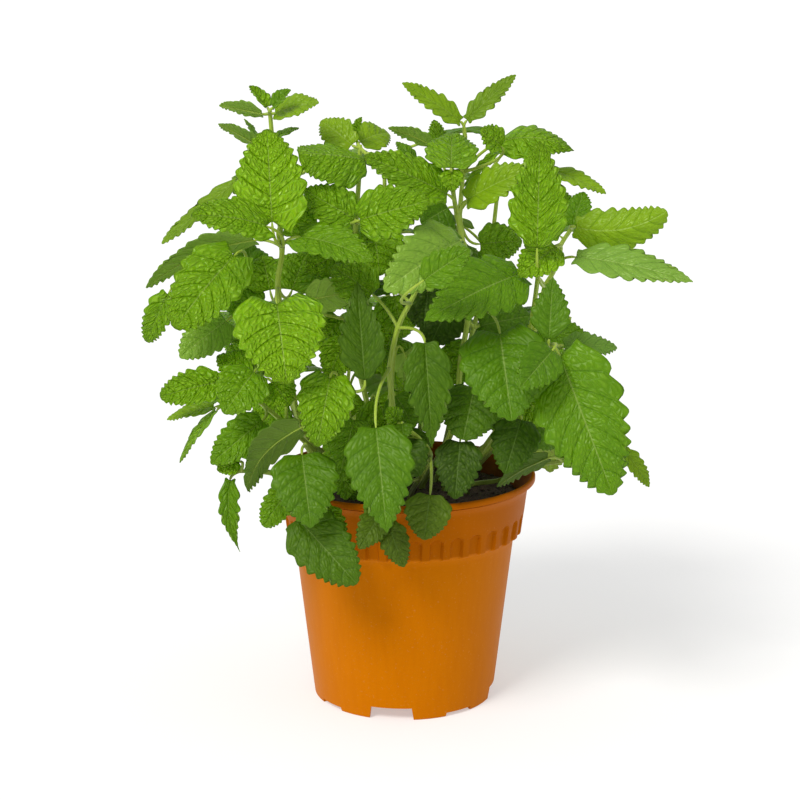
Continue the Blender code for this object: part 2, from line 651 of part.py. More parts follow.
def in_crown(pose):
    """Whether the photograph's outline and gaps leave room for this leaf to show or hide."""
    spots = [blade_point(pose, t, side)[0] for t in (0.1, 0.35, 0.6, 0.85) for side in (-1, 0, 1)]
    for spot in spots + [pose["tip"]]:
        column, row = pixel_of(spot)
        if row > 480 and spot.y > 0 and abs(column - PICTURE_CENTRE) < 115:
            continue
        if any(x0 < column < x1 and y0 < row < y1 for x0, y0, x1, y1 in GAPS):
            return False
        if spot.y > BACK_REACH or abs(spot.x) > SIDE_REACH or abs(spot.x) + spot.y > CORNER_REACH:
            return False
        inside = False
        for (ax, ay), (bx, by) in zip(CROWN, CROWN[1:] + CROWN[:1]):
            if (ay > row) != (by > row) and column < ax + (row - ay) * (bx - ax) / (by - ay):
                inside = not inside
        if not inside:
            return False
    return True


def grow_plant():
    """The whole plant: stem lines and settled leaves."""
    plant = Plant()
    for name, stem in STEMS.items():
        plant.add_stem(name, stem["root"], [seen_at(*p) for p in stem["through"]])
    for name, stem in BACK_STEMS.items():
        plant.add_stem(name, stem["root"], [Vector(p) for p in stem["through"]])
    rows = [(name, row) for name, stem in STEMS.items() for row in stem["leaves"]]
    for name, row in sorted(rows, key=lambda pair: -pair[1]["width"]):
        if not plant.set_leaf(name, row):
            print("left out:", name, row["base"], row["tip"])
    draw = random.Random(SEED)
    for name, stem in BACK_STEMS.items():
        top = stem["through"][-1]
        outward = math.degrees(math.atan2(top[1], top[0]))
        levels = TALL_BACK_LEAVES if top[2] > 200 else LOW_BACK_LEAVES
        for level, (node, length, droop) in enumerate(levels):
            for half in (0, 180):
                turn = outward + 90 * ((level + 1) % 2) + half
                if not plant.set_back_leaf(name, node, turn, length, droop, draw):
                    print("left out at the back:", name, level, half)
    return plant


def new_object(name, mesh, material):
    obj = bpy.data.objects.new(name, mesh)
    bpy.context.scene.collection.objects.link(obj)
    mesh.materials.clear()
    mesh.materials.append(material)
    return obj


def new_material(name, colour, roughness):
    material = bpy.data.materials.new(name)
    material.use_nodes = True
    shader = material.node_tree.nodes["Principled BSDF"]
    shader.inputs["Base Color"].default_value = (*colour, 1)
    shader.inputs["Roughness"].default_value = roughness
    shader.inputs["Metallic"].default_value = 0.0
    return material


def mesh_of(name, vertices, faces):
    mesh = bpy.data.meshes.new(name)
    mesh.from_pydata([v * MM for v in vertices], [], faces)
    mesh.update()
    return mesh


def stem_mesh(line):
    """The square stem: a curve with a four-sided bevel that tapers to its tip."""
    curve = bpy.data.curves.new("stem_curve", "CURVE")
    curve.dimensions = "3D"
    curve.bevel_depth = 1.0
    curve.bevel_resolution = 0
    curve.use_fill_caps = True
    spline = curve.splines.new("POLY")
    spline.points.add(len(line) - 1)
    for i, point in enumerate(line):
        spline.points[i].co = (*(point * MM), 1)
        share = i / (len(line) - 1)
        spline.points[i].radius = (STEM_RADIUS + (STEM_TIP_RADIUS - STEM_RADIUS) * share) * MM
    obj = bpy.data.objects.new("stem_curve", curve)
    mesh = bpy.data.meshes.new_from_object(obj)
    bpy.data.objects.remove(obj)
    bm = bmesh.new()
    bm.from_mesh(mesh)
    bmesh.ops.remove_doubles(bm, verts=bm.verts, dist=1e-6)
    bmesh.ops.triangulate(bm, faces=bm.faces)
    bmesh.ops.recalc_face_normals(bm, faces=bm.faces)
    bm.to_mesh(mesh)
    bm.free()
    return mesh


def joined(obj, pieces, operation):
    """Applies one Boolean of all the pieces to an object, then removes the pieces."""
    helpers = bpy.data.collections.new("helpers")
    bpy.context.scene.collection.children.link(helpers)
    for piece in pieces:
        for holder in list(piece.users_collection):
            holder.objects.unlink(piece)
        helpers.objects.link(piece)
    modifier = obj.modifiers.new("join", "BOOLEAN")
    modifier.operation = operation
    modifier.solver = "MANIFOLD"
    modifier.operand_type = "COLLECTION"
    modifier.collection = helpers
    bpy.context.view_layer.update()
    graph = bpy.context.evaluated_depsgraph_get()
    mesh = bpy.data.meshes.new_from_object(obj.evaluated_get(graph))
    obj.modifiers.clear()
    obj.data = mesh
    for piece in list(helpers.objects):
        bpy.data.objects.remove(piece)
    bpy.data.collections.remove(helpers)
    return obj


def build_stem(name, line, poses, material):
    """One leafy stem: the square stem with its leaves, joined into one solid."""
    stem = new_object(name, stem_mesh(line), material)
    leaves = []
    for number, pose in enumerate(poses):
        mesh = mesh_of(f"{name}_leaf_{number}", *thickened(*leaf_sheet(pose)))
        leaves.append(new_object(mesh.name, mesh, material))
    joined(stem, leaves, "UNION")
    keep_main_body(stem)
    return stem


def keep_main_body(obj):
    """Fills what the join sealed and drops what it cut loose: only the largest body's skin stays."""
    bm = bmesh.new()
    bm.from_mesh(obj.data)
    bmesh.ops.triangulate(bm, faces=bm.faces)
    seen, bodies = set(), []
    for start in bm.faces:
        if start in seen:
            continue
        seen.add(start)
        body, rim = [], [start]
        while rim:
            face = rim.pop()
            body.append(face)
            for edge in face.edges:
                for other in edge.link_faces:
                    if other not in seen:
                        seen.add(other)
                        rim.append(other)
        volume = sum(f.verts[0].co.dot(f.verts[1].co.cross(f.verts[2].co)) for f in body) / 6
        bodies.append((volume, body))
    bodies.sort(key=lambda pair: -abs(pair[0]))
    for volume, body in bodies[1:]:
        print("dropped from", obj.name, round(volume * 1e9, 3), "cubic mm")
        bmesh.ops.delete(bm, geom=body, context="FACES")
    loose = [v for v in bm.verts if not v.link_faces]
    bmesh.ops.delete(bm, geom=loose, context="VERTS")
    bm.to_mesh(obj.data)
    bm.free()


def turned(name, profile, sides, material):
    """A closed shape turned round the pot's axis from a profile of (radius, height) in mm."""
    bm = bmesh.new()
    verts = [bm.verts.new((r * MM, 0, z * MM)) for r, z in profile]
    edges = [bm.edges.new(pair) for pair in zip(verts, verts[1:])]
    bmesh.ops.spin(bm, geom=verts + edges, cent=(0, 0, 0), axis=(0, 0, 1), angle=2 * math.pi, steps=sides,
                   use_merge=True, use_duplicate=False)
    bmesh.ops.remove_doubles(bm, verts=bm.verts, dist=1e-5)
    bmesh.ops.recalc_face_normals(bm, faces=bm.faces)
    mesh = bpy.data.meshes.new(name)
    bm.to_mesh(mesh)
    bm.free()
    return new_object(name, mesh, material)


def wall_radius(height):
    """The body's outer radius at a height."""
    return BODY_FOOT_RADIUS + (BODY_TOP_RADIUS - BODY_FOOT_RADIUS) * height / COLLAR_FOOT


def cutter_box(width, height, turn, reach):
    """A box across the foot ring at one turn, to cut a notch with."""
    bm = bmesh.new()
    bmesh.ops.create_cube(bm, size=1.0)
    for vert in bm.verts:
        along = (vert.co.x * 20 + reach) * MM
        across = vert.co.y * width * MM
        up = (vert.co.z * (height + 4) + (height - 4) / 2) * MM
        angle = math.radians(turn)
        vert.co = (along * math.cos(angle) - across * math.sin(angle),
                   along * math.sin(angle) + across * math.cos(angle), up)
    return bm_cutter(bm, "notch")


def cutter_rod(x, y, radius, low, high, sides):
    """An upright rod, to cut a round hole with."""
    bm = bmesh.new()
    bmesh.ops.create_cone(bm, cap_ends=True, segments=sides, radius1=radius * MM, radius2=radius * MM,
                          depth=(high - low) * MM)
    bmesh.ops.translate(bm, verts=bm.verts, vec=(x * MM, y * MM, (low + high) / 2 * MM))
    return bm_cutter(bm, "rod")


def bm_cutter(bm, name):
    bm.normal_update()
    bmesh.ops.recalc_face_normals(bm, faces=bm.faces)
    mesh = bpy.data.meshes.new(name)
    bm.to_mesh(mesh)
    bm.free()
    obj = bpy.data.objects.new(name, mesh)
    bpy.context.scene.collection.objects.link(obj)
    obj.hide_render = True
    obj.display_type = "WIRE"
    return obj


def build_pot(material):
    """The pot: tapered wall, fluted collar, rolled rim, notched foot ring and a floor with drain holes."""
    inner_top = COLLAR_TOP_RADIUS - WALL
    profile = [
        (0, FLOOR_UNDER),
        (wall_radius(FLOOR_UNDER) - FOOT_WIDTH, FLOOR_UNDER),
        (BODY_FOOT_RADIUS - FOOT_WIDTH, 0),
        (BODY_FOOT_RADIUS, 0),
        (BODY_TOP_RADIUS, COLLAR_FOOT - 1.5),
        (COLLAR_FOOT_RADIUS, COLLAR_FOOT),
        (COLLAR_FOOT_RADIUS + 1.2, FLUTE_TOP),
        (COLLAR_TOP_RADIUS, COLLAR_TOP),
        (RIM_RADIUS, POT_HEIGHT - 4.4),
        (RIM_RADIUS, POT_HEIGHT - 1.6),
        (RIM_RADIUS - 1.6, POT_HEIGHT),
        (inner_top, POT_HEIGHT - 1.0),
        (inner_radius(COLLAR_FOOT), COLLAR_FOOT),
        (inner_radius(FLOOR_TOP), FLOOR_TOP),
        (0, FLOOR_TOP),
    ]
    pot = turned("pot", profile, POT_SIDES, material)
    for vert in pot.data.vertices:
        radius, height = math.hypot(vert.co.x, vert.co.y) / MM, vert.co.z / MM
        if abs(height - COLLAR_FOOT) < 0.1 and radius > COLLAR_FOOT_RADIUS - 0.2:
            turn = math.atan2(vert.co.y, vert.co.x)
            step = round(turn / (2 * math.pi / POT_SIDES))
            if step % 2:
                share = (radius - FLUTE_DEPTH) / radius
                vert.co.x *= share
                vert.co.y *= share
                vert.co.z += 0.5 * MM
    cutters = []
    for quarter in range(4):
        turn = FIRST_NOTCH_TURN + 90 * quarter
        cutters.append(cutter_box(DEEP_NOTCH[0], DEEP_NOTCH[1], turn, BODY_FOOT_RADIUS))
        cutters.append(cutter_box(SHALLOW_NOTCH[0], SHALLOW_NOTCH[1], turn + 45, BODY_FOOT_RADIUS))
        hole = math.radians(turn + 22)
        cutters.append(cutter_rod(DRAIN_CIRCLE * math.cos(hole), DRAIN_CIRCLE * math.sin(hole), DRAIN_RADIUS,
                                  FLOOR_UNDER - 2, FLOOR_TOP + 2, 10))
    joined(pot, cutters, "DIFFERENCE")
    pot.data.shade_smooth()
    pot.data.set_sharp_from_angle(angle=math.radians(28))
    return pot


def inner_radius(height):
    """The wall's inner radius, under and inside the collar."""
    if height > COLLAR_FOOT:
        share = (height - COLLAR_FOOT) / (POT_HEIGHT - 1.0 - COLLAR_FOOT)
        low = BODY_TOP_RADIUS - WALL
        return low + (COLLAR_TOP_RADIUS - WALL - low) * share
    return wall_radius(height) - WALL


def build_soil(roots, material):
    """The soil: a crumbly plug with a low crown, and a plain hole for each stem."""
    low = FLOOR_TOP + SOIL_GAP
    edge = inner_radius(SOIL_TOP) - SOIL_GAP
    profile = [
        (0, low),
        (inner_radius(low) - SOIL_GAP, low),
        (inner_radius(COLLAR_FOOT) - SOIL_GAP, COLLAR_FOOT - 0.5),
        (edge - 0.3, SOIL_TOP - 1.5),
        (edge * 0.82, SOIL_TOP + SOIL_CROWN * 0.3),
        (edge * 0.6, SOIL_TOP + SOIL_CROWN * 0.6),
        (edge * 0.3, SOIL_TOP + SOIL_CROWN),
        (0, SOIL_TOP + SOIL_CROWN),
    ]
    soil = turned("soil", profile, SOIL_SIDES, material)
    draw = random.Random(SEED)
    for vert in sorted(soil.data.vertices, key=lambda v: (round(v.co.z, 6), math.atan2(v.co.y, v.co.x))):
        if vert.co.z > (SOIL_TOP - 0.1) * MM:
            vert.co.z += draw.uniform(-0.9, 0.9) * MM
    cutters = [cutter_rod(x, y, ROOT_HOLE_RADIUS, SOIL_TOP - ROOT_DEPTH - 1, SOIL_TOP + 12, 6) for x, y in roots]
    return joined(soil, cutters, "DIFFERENCE")


def main():
    for obj in list(bpy.data.objects):
        bpy.data.objects.remove(obj)
    pot_plastic = new_material("pot_plastic", (0.60, 0.19, 0.01), 0.42)
    potting_soil = new_material("potting_soil", (0.03, 0.018, 0.012), 0.95)
    foliage = new_material("foliage", (0.13, 0.30, 0.02), 0.5)
    build_pot(pot_plastic)
    plant = grow_plant()
    roots = [stem["root"] for stem in {**STEMS, **BACK_STEMS}.values()]
    build_soil(roots, potting_soil)
    for name, line in plant.lines.items():
        poses = [leaf_found["pose"] for leaf_found in plant.placed if leaf_found["stem"] == name]
        build_stem(name, line, poses, foliage)
    print(len(plant.placed), "leaves")


main()
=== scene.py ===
"""A potted lemon balm: crinkled, toothed leaves on square stems, crumbly soil and an orange nursery pot.

The scene is in metres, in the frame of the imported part. The sizes and the tables below are in millimetres.
"""

import random
from itertools import product
from math import atan2, cos, degrees, exp, hypot, pi, radians, sin, sqrt

import bmesh
import bpy
import numpy as np
from mathutils import Matrix, Vector, noise
from mathutils.kdtree import KDTree


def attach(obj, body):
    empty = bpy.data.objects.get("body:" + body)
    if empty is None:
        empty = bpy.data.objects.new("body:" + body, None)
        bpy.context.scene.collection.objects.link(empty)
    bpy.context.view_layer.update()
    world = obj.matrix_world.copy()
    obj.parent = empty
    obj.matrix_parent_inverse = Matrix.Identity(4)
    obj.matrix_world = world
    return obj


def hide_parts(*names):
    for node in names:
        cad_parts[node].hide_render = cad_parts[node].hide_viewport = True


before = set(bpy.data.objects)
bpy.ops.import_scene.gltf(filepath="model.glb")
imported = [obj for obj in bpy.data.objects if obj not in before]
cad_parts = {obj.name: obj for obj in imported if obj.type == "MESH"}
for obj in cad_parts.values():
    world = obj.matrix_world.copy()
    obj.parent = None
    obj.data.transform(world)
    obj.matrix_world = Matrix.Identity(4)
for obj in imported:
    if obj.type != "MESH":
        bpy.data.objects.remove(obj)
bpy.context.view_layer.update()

MM = 0.001

# The pot, as the part has it
POT_HEIGHT = 113.5
RIM_RADIUS = 65.0
COLLAR_TOP_RADIUS = 61.2
COLLAR_FOOT_RADIUS = 58.4
COLLAR_TOP = 106.5
COLLAR_FOOT = 84.5
BODY_TOP_RADIUS = 54.9
BODY_FOOT_RADIUS = 45.0
WALL = 1.3
FOOT_WIDTH = 2.4
FLOOR_UNDER = 7.4
FLOOR_TOP = 8.8
DEEP_NOTCH = (20.0, 6.3)
SHALLOW_NOTCH = (15.0, 2.0)
FIRST_NOTCH_TURN = -98.0
DRAIN_RADIUS = 3.6
DRAIN_CIRCLE = 27.0
DRAIN_TURN = 22.0
SHARP_ANGLE = radians(35)

# The arched niches round the collar
NICHES = 36
NICHE_TURN = -85.0
NICHE_HALF = 3.4
NICHE_HEIGHT = 10.6
NICHE_DEPTH = 1.7
NICHE_EDGE = 0.5
POT_STEPS = 432

SOIL_TOP = 103.0
SOIL_CROWN = 2.0
SOIL_GAP = 0.4
ROOT_DEPTH = 13.0
CRUMBS = 420
CRUMB_SIZES = (0.5, 1.5)

STEM_RADIUS = 1.6
STEM_TIP_RADIUS = 1.0
STALK_RADIUS = 0.86
MIDRIB_RADIUS = 0.38
SOLID_BLADE = 0.62
BLADE_THICKNESS = 0.34
SAME_PLACE = 0.05
SEED = 11

# The leaves' relief. The teeth are a share of their pitch, and the next two a share of the leaf's width.
TOOTH_DEPTH = 0.42
EDGE_WAVE = 0.024
EDGE_CURL = 0.035
FURROW_DEPTH = 0.12
VEIN_SLANT = 0.6

# The photograph's viewpoint
CAMERA = (-2.0, -970.0, 370.0)
CAMERA_TILT = radians(12.8)
SENSOR_WIDTH = 36.0
FOCAL_PIXELS = 2023.0
PICTURE_CENTRE = 400.0

# How a leaf looks: how light it is, how far it goes to olive and how far to grey-green. The lightness is
# partly the leaf's own tone and partly painted: painted shade for leaves that sit in shade, painted light for
# undersides in shade. The grey-green is a painted sheen on the upper side.
LOOKS = {
    "bright": (1.0, 0.0, 0.0),
    "lively": (0.82, 0.0, 0.0),
    "fresh": (0.65, 0.0, 0.0),
    "mid": (0.48, 0.05, 0.0),
    "dull": (0.3, 0.05, 0.0),
    "deep": (0.1, 0.0, 0.0),
    "bronze": (0.05, 0.2, 0.0),
    "olive": (0.85, 0.6, 0.0),
    "moss": (0.55, 0.5, 0.0),
    "grey": (0.75, 0.2, 0.6),
    "blue": (0.6, 0.0, 0.5),
    "pale": (0.95, 0.4, 0.5),
}


def seen_at(column, row, nearer, shift=0):
    """The point, in mm, that the photograph shows at this pixel, this many mm nearer than the pot's axis."""
    right = (column - PICTURE_CENTRE) / FOCAL_PIXELS
    down = (row - PICTURE_CENTRE) / FOCAL_PIXELS
    ray = Vector((right, cos(CAMERA_TILT) - down * sin(CAMERA_TILT),
                  -sin(CAMERA_TILT) - down * cos(CAMERA_TILT)))
    return Vector(CAMERA) + ray * ((-nearer - shift - CAMERA[1]) / ray.y)


def leaf(node, base, tip, width, face, look="fresh", arch=0.1, fold=0.15, sweep=0.0, taper=0.62, lobe=0.12):
    """One leaf: the stem point it grows from, its blade's base and tip as (column, row, mm nearer), its
    width in mm, its turn in degrees from facing the camera, its look, how far it arches, how far its halves
    fold up, how far it bends sideways, how fast it narrows and how far its base's lobes reach back."""
    return dict(node=node, base=base, tip=tip, width=width, face=face, look=look, arch=arch, fold=fold,
                sweep=sweep, taper=taper, lobe=lobe)


def polar(reach, turn, height):
    return Vector((reach * cos(turn), reach * sin(turn), height))


def stem_at(root, through, leaves=()):
    """One stem: its root on the soil, the points it rises through and the leaves it bears."""
    return dict(root=root, through=through, leaves=leaves)


STEMS = {
    "stem_left_tall": stem_at((-24, -6), [
        (303, 430, 22), (288, 350, 30), (278, 288, 36), (282, 247, 32), (274, 180, 24), (272, 138, 20),
        (270, 113, 18),
    ], [
        leaf(7, (262, 114, 18), (219, 106, 14), 14, 118, "pale", 0.05),
        leaf(7, (275, 113, 22), (319, 103, 28), 18, 56, "olive", 0.08),
        leaf(7, (267, 107, 16), (249, 86, 12), 9, 45, "lively", 0.05, 0.5),
        leaf(7, (273, 107, 20), (291, 90, 18), 9, 45, "fresh", 0.05, 0.5),
        leaf(6, (256, 144, 22), (218, 124, 26), 14, 115, "grey", 0.05),
        leaf(6, (255, 138, 12), (244, 119, 2), 6, 65),
        leaf(6, (278, 137, 16), (299, 128, 10), 9, 70, "lively"),
        leaf(4, (272, 222, 50), (267, 129, 34), 33, 0, "bright", 0.06, lobe=0.24),
        leaf(4, (284, 224, 38), (318, 212, 32), 19, 20, "bright", lobe=0.25),
        leaf(4, (266, 226, 52), (191, 216, 64), 25, 46, "lively", 0.12, lobe=0.25),
        leaf(4, (301, 237, 46), (373, 262, 66), 23, 42, arch=0.14, lobe=0.25),
        leaf(5, (236, 182, 12), (162, 244, 22), 11, 50, "moss", 0.02, taper=0.45),
        leaf(4, (254, 240, 22), (146, 288, 28), 23, 124, "grey", 0.26, 0.15, 0.1),
        leaf(3, (277, 304, 54), (287, 385, 84), 42, 0, "bright", 0.14, lobe=0.29),
        leaf(1, (300, 428, 48), (247, 489, 62), 24, 128, "mid", 0.3, taper=0.4),
        leaf(3, (292, 290, 18), (308, 252, 6), 28, 20, "lively"),
        leaf(3, (270, 290, 14), (262, 256, 2), 25, 10, "lively"),
        leaf(2, (300, 345, 20), (322, 318, 12), 22, 20, "bright"),
    ]),
    "stem_left_back": stem_at((-27, 4), [
        (306, 440, 0), (276, 350, 2), (252, 290, 8), (246, 268, 12),
    ], [
        leaf(4, (234, 256, 34), (175, 329, 54), 33, 20, "lively", 0.12, taper=0.5, lobe=0.2),
        leaf(4, (168, 294, 2), (147, 342, 0), 14, 15, "lively", taper=0.45),
        leaf(3, (226, 321, 34), (180, 358, 46), 21, 15, "pale"),
        leaf(4, (252, 284, 4), (248, 243, -8), 24, 20, "mid"),
        leaf(3, (262, 306, 10), (222, 300, 2), 22, 30),
        leaf(2, (262, 350, 2), (226, 352, -6), 22, 30, "bright"),
        leaf(1, (284, 405, 0), (256, 440, -4), 24, 20),
    ]),
    "stem_left_low": stem_at((-30, -12), [
        (318, 455, 30), (286, 425, 42), (262, 404, 48), (242, 392, 50),
    ], [
        leaf(4, (219, 382, 54), (160, 397, 62), 18, 18, "lively", taper=0.45),
        leaf(4, (214, 407, 44), (167, 420, 48), 12, 60, "olive", 0.08),
        leaf(4, (216, 411, 56), (180, 463, 62), 11, 68, "lively", 0.08),
        leaf(3, (262, 421, 60), (211, 464, 74), 19, 8, arch=0.12),
        leaf(4, (254, 372, 62), (224, 414, 76), 25, 10, arch=0.12),
        leaf(4, (248, 376, 36), (217, 356, 32), 16, 20, "bright"),
        leaf(3, (272, 382, 60), (290, 406, 66), 17, 15, "bright"),
        leaf(2, (280, 402, 34), (262, 432, 40), 20, 15, "bright"),
    ]),
    "stem_left_spray": stem_at((-27, -20), [
        (322, 484, 44), (288, 473, 52), (262, 472, 57), (241, 471, 60),
    ], [
        leaf(4, (239, 462, 64), (217, 470, 70), 10, 5, "bright", 0.1, 0.3),
        leaf(4, (230, 480, 62), (240, 552, 66), 10, 10, "fresh", 0.05, 0.3, 0.16, taper=1.5),
        leaf(3, (288, 490, 54), (264, 527, 60), 15, 10, taper=0.45),
    ]),
    "stem_front_left": stem_at((-16, -26), [
        (334, 486, 46), (316, 462, 54), (306, 446, 58),
    ], [
        leaf(3, (302, 455, 70), (311, 528, 88), 31, 0, "mid", 0.14, taper=0.7),
        leaf(1, (298, 519, 70), (357, 584, 84), 28, 0, "dull", taper=0.55),
        leaf(1, (323, 508, 60), (345, 539, 66), 12, 15, "lively"),
        leaf(2, (340, 450, 44), (346, 500, 50), 16, 5),
    ]),
    "stem_peak_left": stem_at((-12, 3), [
        (372, 425, 6), (350, 320, 10), (356, 222, 20), (359, 178, 16), (360, 148, 14),
    ], [
        leaf(5, (365, 160, 26), (298, 153, 42), 28, 40, "lively", 0.06, -0.5, taper=0.38),
        leaf(5, (352, 145, 14), (321, 121, 2), 17, 15, "olive"),
        leaf(5, (360, 142, 8), (388, 133, -8), 17, 30, "olive", 0.15),
        leaf(5, (356, 131, 12), (362, 117, 10), 5, 30, "lively", 0.1, 0.3),
        leaf(3, (354, 219, 36), (304, 190, 44), 21, 8, "lively"),
        leaf(3, (360, 220, 44), (430, 201, 58), 25, 12, "lively", 0.12),
        leaf(3, (345, 250, 10), (306, 272, 18), 22, 10, "lively", 0.12),
        leaf(2, (308, 300, 38), (357, 292, 46), 18, 158, "pale", 0.09),
        leaf(3, (374, 232, 12), (380, 276, 24), 27, 5, "bright", 0.12),
        leaf(2, (340, 318, 4), (320, 350, 12), 22, 10, "bright"),
        leaf(2, (362, 318, 0), (384, 350, -8), 24, 10, "bright"),
        leaf(1, (366, 405, 0), (340, 430, -4), 27, 10, "bright"),
        leaf(1, (376, 398, 2), (394, 430, 6), 27, 5, "lively"),
    ]),
    "stem_front_middle": stem_at((-12, -17), [
        (354, 470, 32), (350, 430, 42), (347, 390, 50),
    ], [
        leaf(3, (330, 378, 66), (317, 447, 84), 26, 0, "lively", 0.12, lobe=0.25),
        leaf(3, (345, 340, 54), (328, 378, 62), 18, 5, "bright"),
        leaf(3, (365, 380, 62), (357, 281, 50), 22, 0, "dull", 0.05, 0.3, taper=1, lobe=0.04),
        leaf(2, (354, 420, 52), (338, 482, 64), 24, 0, arch=0.12),
        leaf(1, (366, 470, 40), (352, 500, 46), 15, 5, "mid"),
    ]),
    "stem_centre": stem_at((-4, -13), [
        (391, 450, 38), (392, 405, 43), (390, 368, 45), (398, 328, 46), (410, 303, 42), (420, 284, 38),
        (441, 249, 32),
    ], [
        leaf(3, (376, 428, 78), (387, 533, 98), 31, 0, "mid", taper=0.9),
        leaf(4, (425, 343, 58), (432, 448, 66), 23, 8, "dull", 0.06, 0.3, taper=1.15),
        leaf(4, (372, 294, 34), (332, 266, 22), 22, 15, "lively", 0.12),
        leaf(5, (424, 280, 78), (470, 249, 82), 16, 5),
        leaf(7, (460, 241, 40), (384, 291, 70), 31, 8, "pale", 0.22),
        leaf(2, (404, 352, 26), (418, 384, 32), 17, 165, "grey"),
        leaf(5, (394, 296, 26), (404, 338, 34), 22, 5, "lively"),
        leaf(6, (428, 292, 26), (424, 330, 32), 22, 8, "deep"),
        leaf(1, (402, 430, 24), (410, 474, 30), 25, 5, "dull"),
        leaf(1, (396, 396, 26), (414, 428, 32), 20, 10, "mid"),
    ]),
    "stem_peak_front": stem_at((9, -4), [
        (452, 430, 12), (461, 360, 14), (468, 312, 16), (464, 250, 16), (457, 215, 18), (453, 190, 20),
        (452, 170, 21),
    ], [
        leaf(7, (451, 168, 30), (452, 133, -2), 25, 0, "lively", 0.05),
        leaf(6, (441, 154, -2), (434, 120, -12), 10, 10, "bright", 0.05),
        leaf(7, (452, 170, 32), (452, 192, 42), 11, 0, "bright"),
        leaf(5, (447, 194, 26), (364, 156, 36), 22, 30, "lively", 0.06),
        leaf(5, (467, 200, 22), (535, 168, 30), 19, 30, "olive", 0.12),
        leaf(4, (462, 240, 24), (436, 230, 32), 9, 60),
        leaf(3, (500, 334, 58), (512, 421, 84), 40, 0, "mid", 0.14, lobe=0.2),
        leaf(1, (474, 388, 44), (463, 440, 58), 29, 0, "dull", 0.16, taper=0.45),
        leaf(3, (452, 300, 4), (430, 346, 14), 26, 5, "deep", 0.12),
        leaf(3, (480, 326, 8), (530, 316, 0), 25, 10, "dull"),
        leaf(2, (472, 345, 2), (450, 384, 10), 24, 5, "lively"),
        leaf(1, (474, 392, 4), (506, 424, 8), 30, 10, "mid"),
    ]),
    "stem_peak_back": stem_at((3, 8), [
        (438, 420, -14), (450, 330, -16), (457, 245, -12), (460, 210, -8), (463, 172, -6), (465, 137, -6),
    ], [
        leaf(6, (460, 121, -4), (402, 83, 2), 12, 36, "olive", 0.06),
        leaf(6, (467, 120, -6), (516, 75, -10), 11, 30, "moss", 0.05),
        leaf(5, (432, 145, 0), (388, 128, 4), 13, 122, "pale", 0.08),
        leaf(5, (503, 141, 0), (574, 151, 4), 22, 40, "lively", 0.34, -0.3, taper=0.9, lobe=0.2),
        leaf(5, (501, 146, 10), (480, 129, 18), 14, 25, "bright"),
        leaf(4, (499, 151, -16), (464, 187, -22), 7, 50, "bright", 0.05),
        leaf(4, (448, 208, -12), (421, 224, -4), 23, 8, "mid"),
        leaf(4, (480, 244, -12), (522, 241, -20), 20, 12, "lively"),
        leaf(5, (414, 161, -6), (396, 142, -12), 8, 40),
        leaf(3, (440, 262, -20), (410, 272, -26), 24, 10),
        leaf(3, (476, 262, -22), (506, 276, -28), 22, 10),
    ]),
    "stem_right_tall": stem_at((20, -4), [
        (497, 440, 10), (522, 372, 16), (539, 312, 20), (545, 287, 22), (553, 272, 22), (560, 247, 20),
        (571, 229, 16),
    ], [
        leaf(4, (520, 274, 44), (424, 321, 82), 31, 20, arch=0.12, taper=0.85),
        leaf(5, (556, 247, 38), (519, 277, 52), 20, 18, "bright", 0.12),
        leaf(4, (537, 248, 52), (540, 141, 46), 27, 0, "lively", 0.05, taper=0.76, lobe=0.06),
        leaf(7, (573, 226, 12), (584, 192, 2), 14, 10),
        leaf(7, (576, 227, 24), (667, 211, 34), 21, 0, "olive", 0.05, -0.3, 0.22, taper=0.45),
        leaf(5, (576, 257, 38), (693, 282, 60), 20, 40, "grey", 0.08, taper=0.8),
    ]),
    "stem_right_back": stem_at((16, 12), [
        (508, 425, -22), (530, 330, -24), (541, 250, -18), (548, 182, -12),
    ], [
        leaf(4, (554, 171, -6), (606, 194, 2), 12, 52, "olive", 0.08),
        leaf(3, (560, 236, -12), (541, 226, -20), 11, 20, "lively"),
        leaf(4, (562, 218, -8), (560, 188, -16), 13, 15, "bright"),
        leaf(2, (546, 330, -28), (590, 340, -34), 15, 15, arch=0.05),
        leaf(1, (520, 392, -24), (548, 424, -28), 24, 10, "lively"),
        leaf(1, (532, 418, -10), (560, 446, -6), 22, 10, "mid"),
    ]),
    "stem_right_front": stem_at((24, -15), [
        (471, 466, 26), (500, 425, 36), (530, 385, 46), (548, 346, 52),
    ], [
        leaf(4, (549, 339, 62), (553, 277, 52), 18, 0, "mid", 0.05, taper=0.9, lobe=0.04),
        leaf(4, (564, 345, 42), (617, 348, 30), 13, 30, "blue", 0.08),
        leaf(4, (560, 356, 66), (613, 495, 86), 41, 0, "fresh", 0.1, 0.12, taper=0.6, lobe=0.18),
        leaf(4, (552, 351, 70), (519, 389, 84), 20, 0, "mid"),
        leaf(2, (521, 420, 44), (505, 474, 54), 23, 0, "deep", 0.14),
        leaf(1, (460, 442, 54), (455, 499, 66), 22, 0, "deep", 0.12),
    ]),
    "stem_right_low": stem_at((31, -8), [
        (500, 480, 24), (532, 466, 32), (562, 461, 36), (592, 452, 38),
    ], [
        leaf(3, (548, 458, 42), (497, 487, 46), 14, 125, "deep", 0.12),
        leaf(4, (624, 450, 42), (649, 487, 44), 9, 25, "olive", 0.12),
        leaf(4, (600, 440, 30), (606, 400, 22), 20, 15, "lively"),
    ]),
    "stem_front_low": stem_at((3, -24), [
        (420, 478, 46), (430, 455, 52), (418, 438, 50), (404, 427, 48),
    ], [
        leaf(2, (430, 495, 70), (424, 540, 76), 22, 0, "bronze", 0.06),
        leaf(4, (398, 422, 52), (386, 408, 58), 10, 15),
        leaf(4, (402, 424, 54), (404, 440, 62), 10, 0, "dull"),
        leaf(1, (384, 508, 68), (359, 549, 76), 15, 0, "bronze"),
        leaf(1, (388, 524, 70), (404, 567, 76), 14, 0, "bronze"),
        leaf(3, (400, 446, 54), (420, 476, 62), 22, 5, "deep"),
    ]),
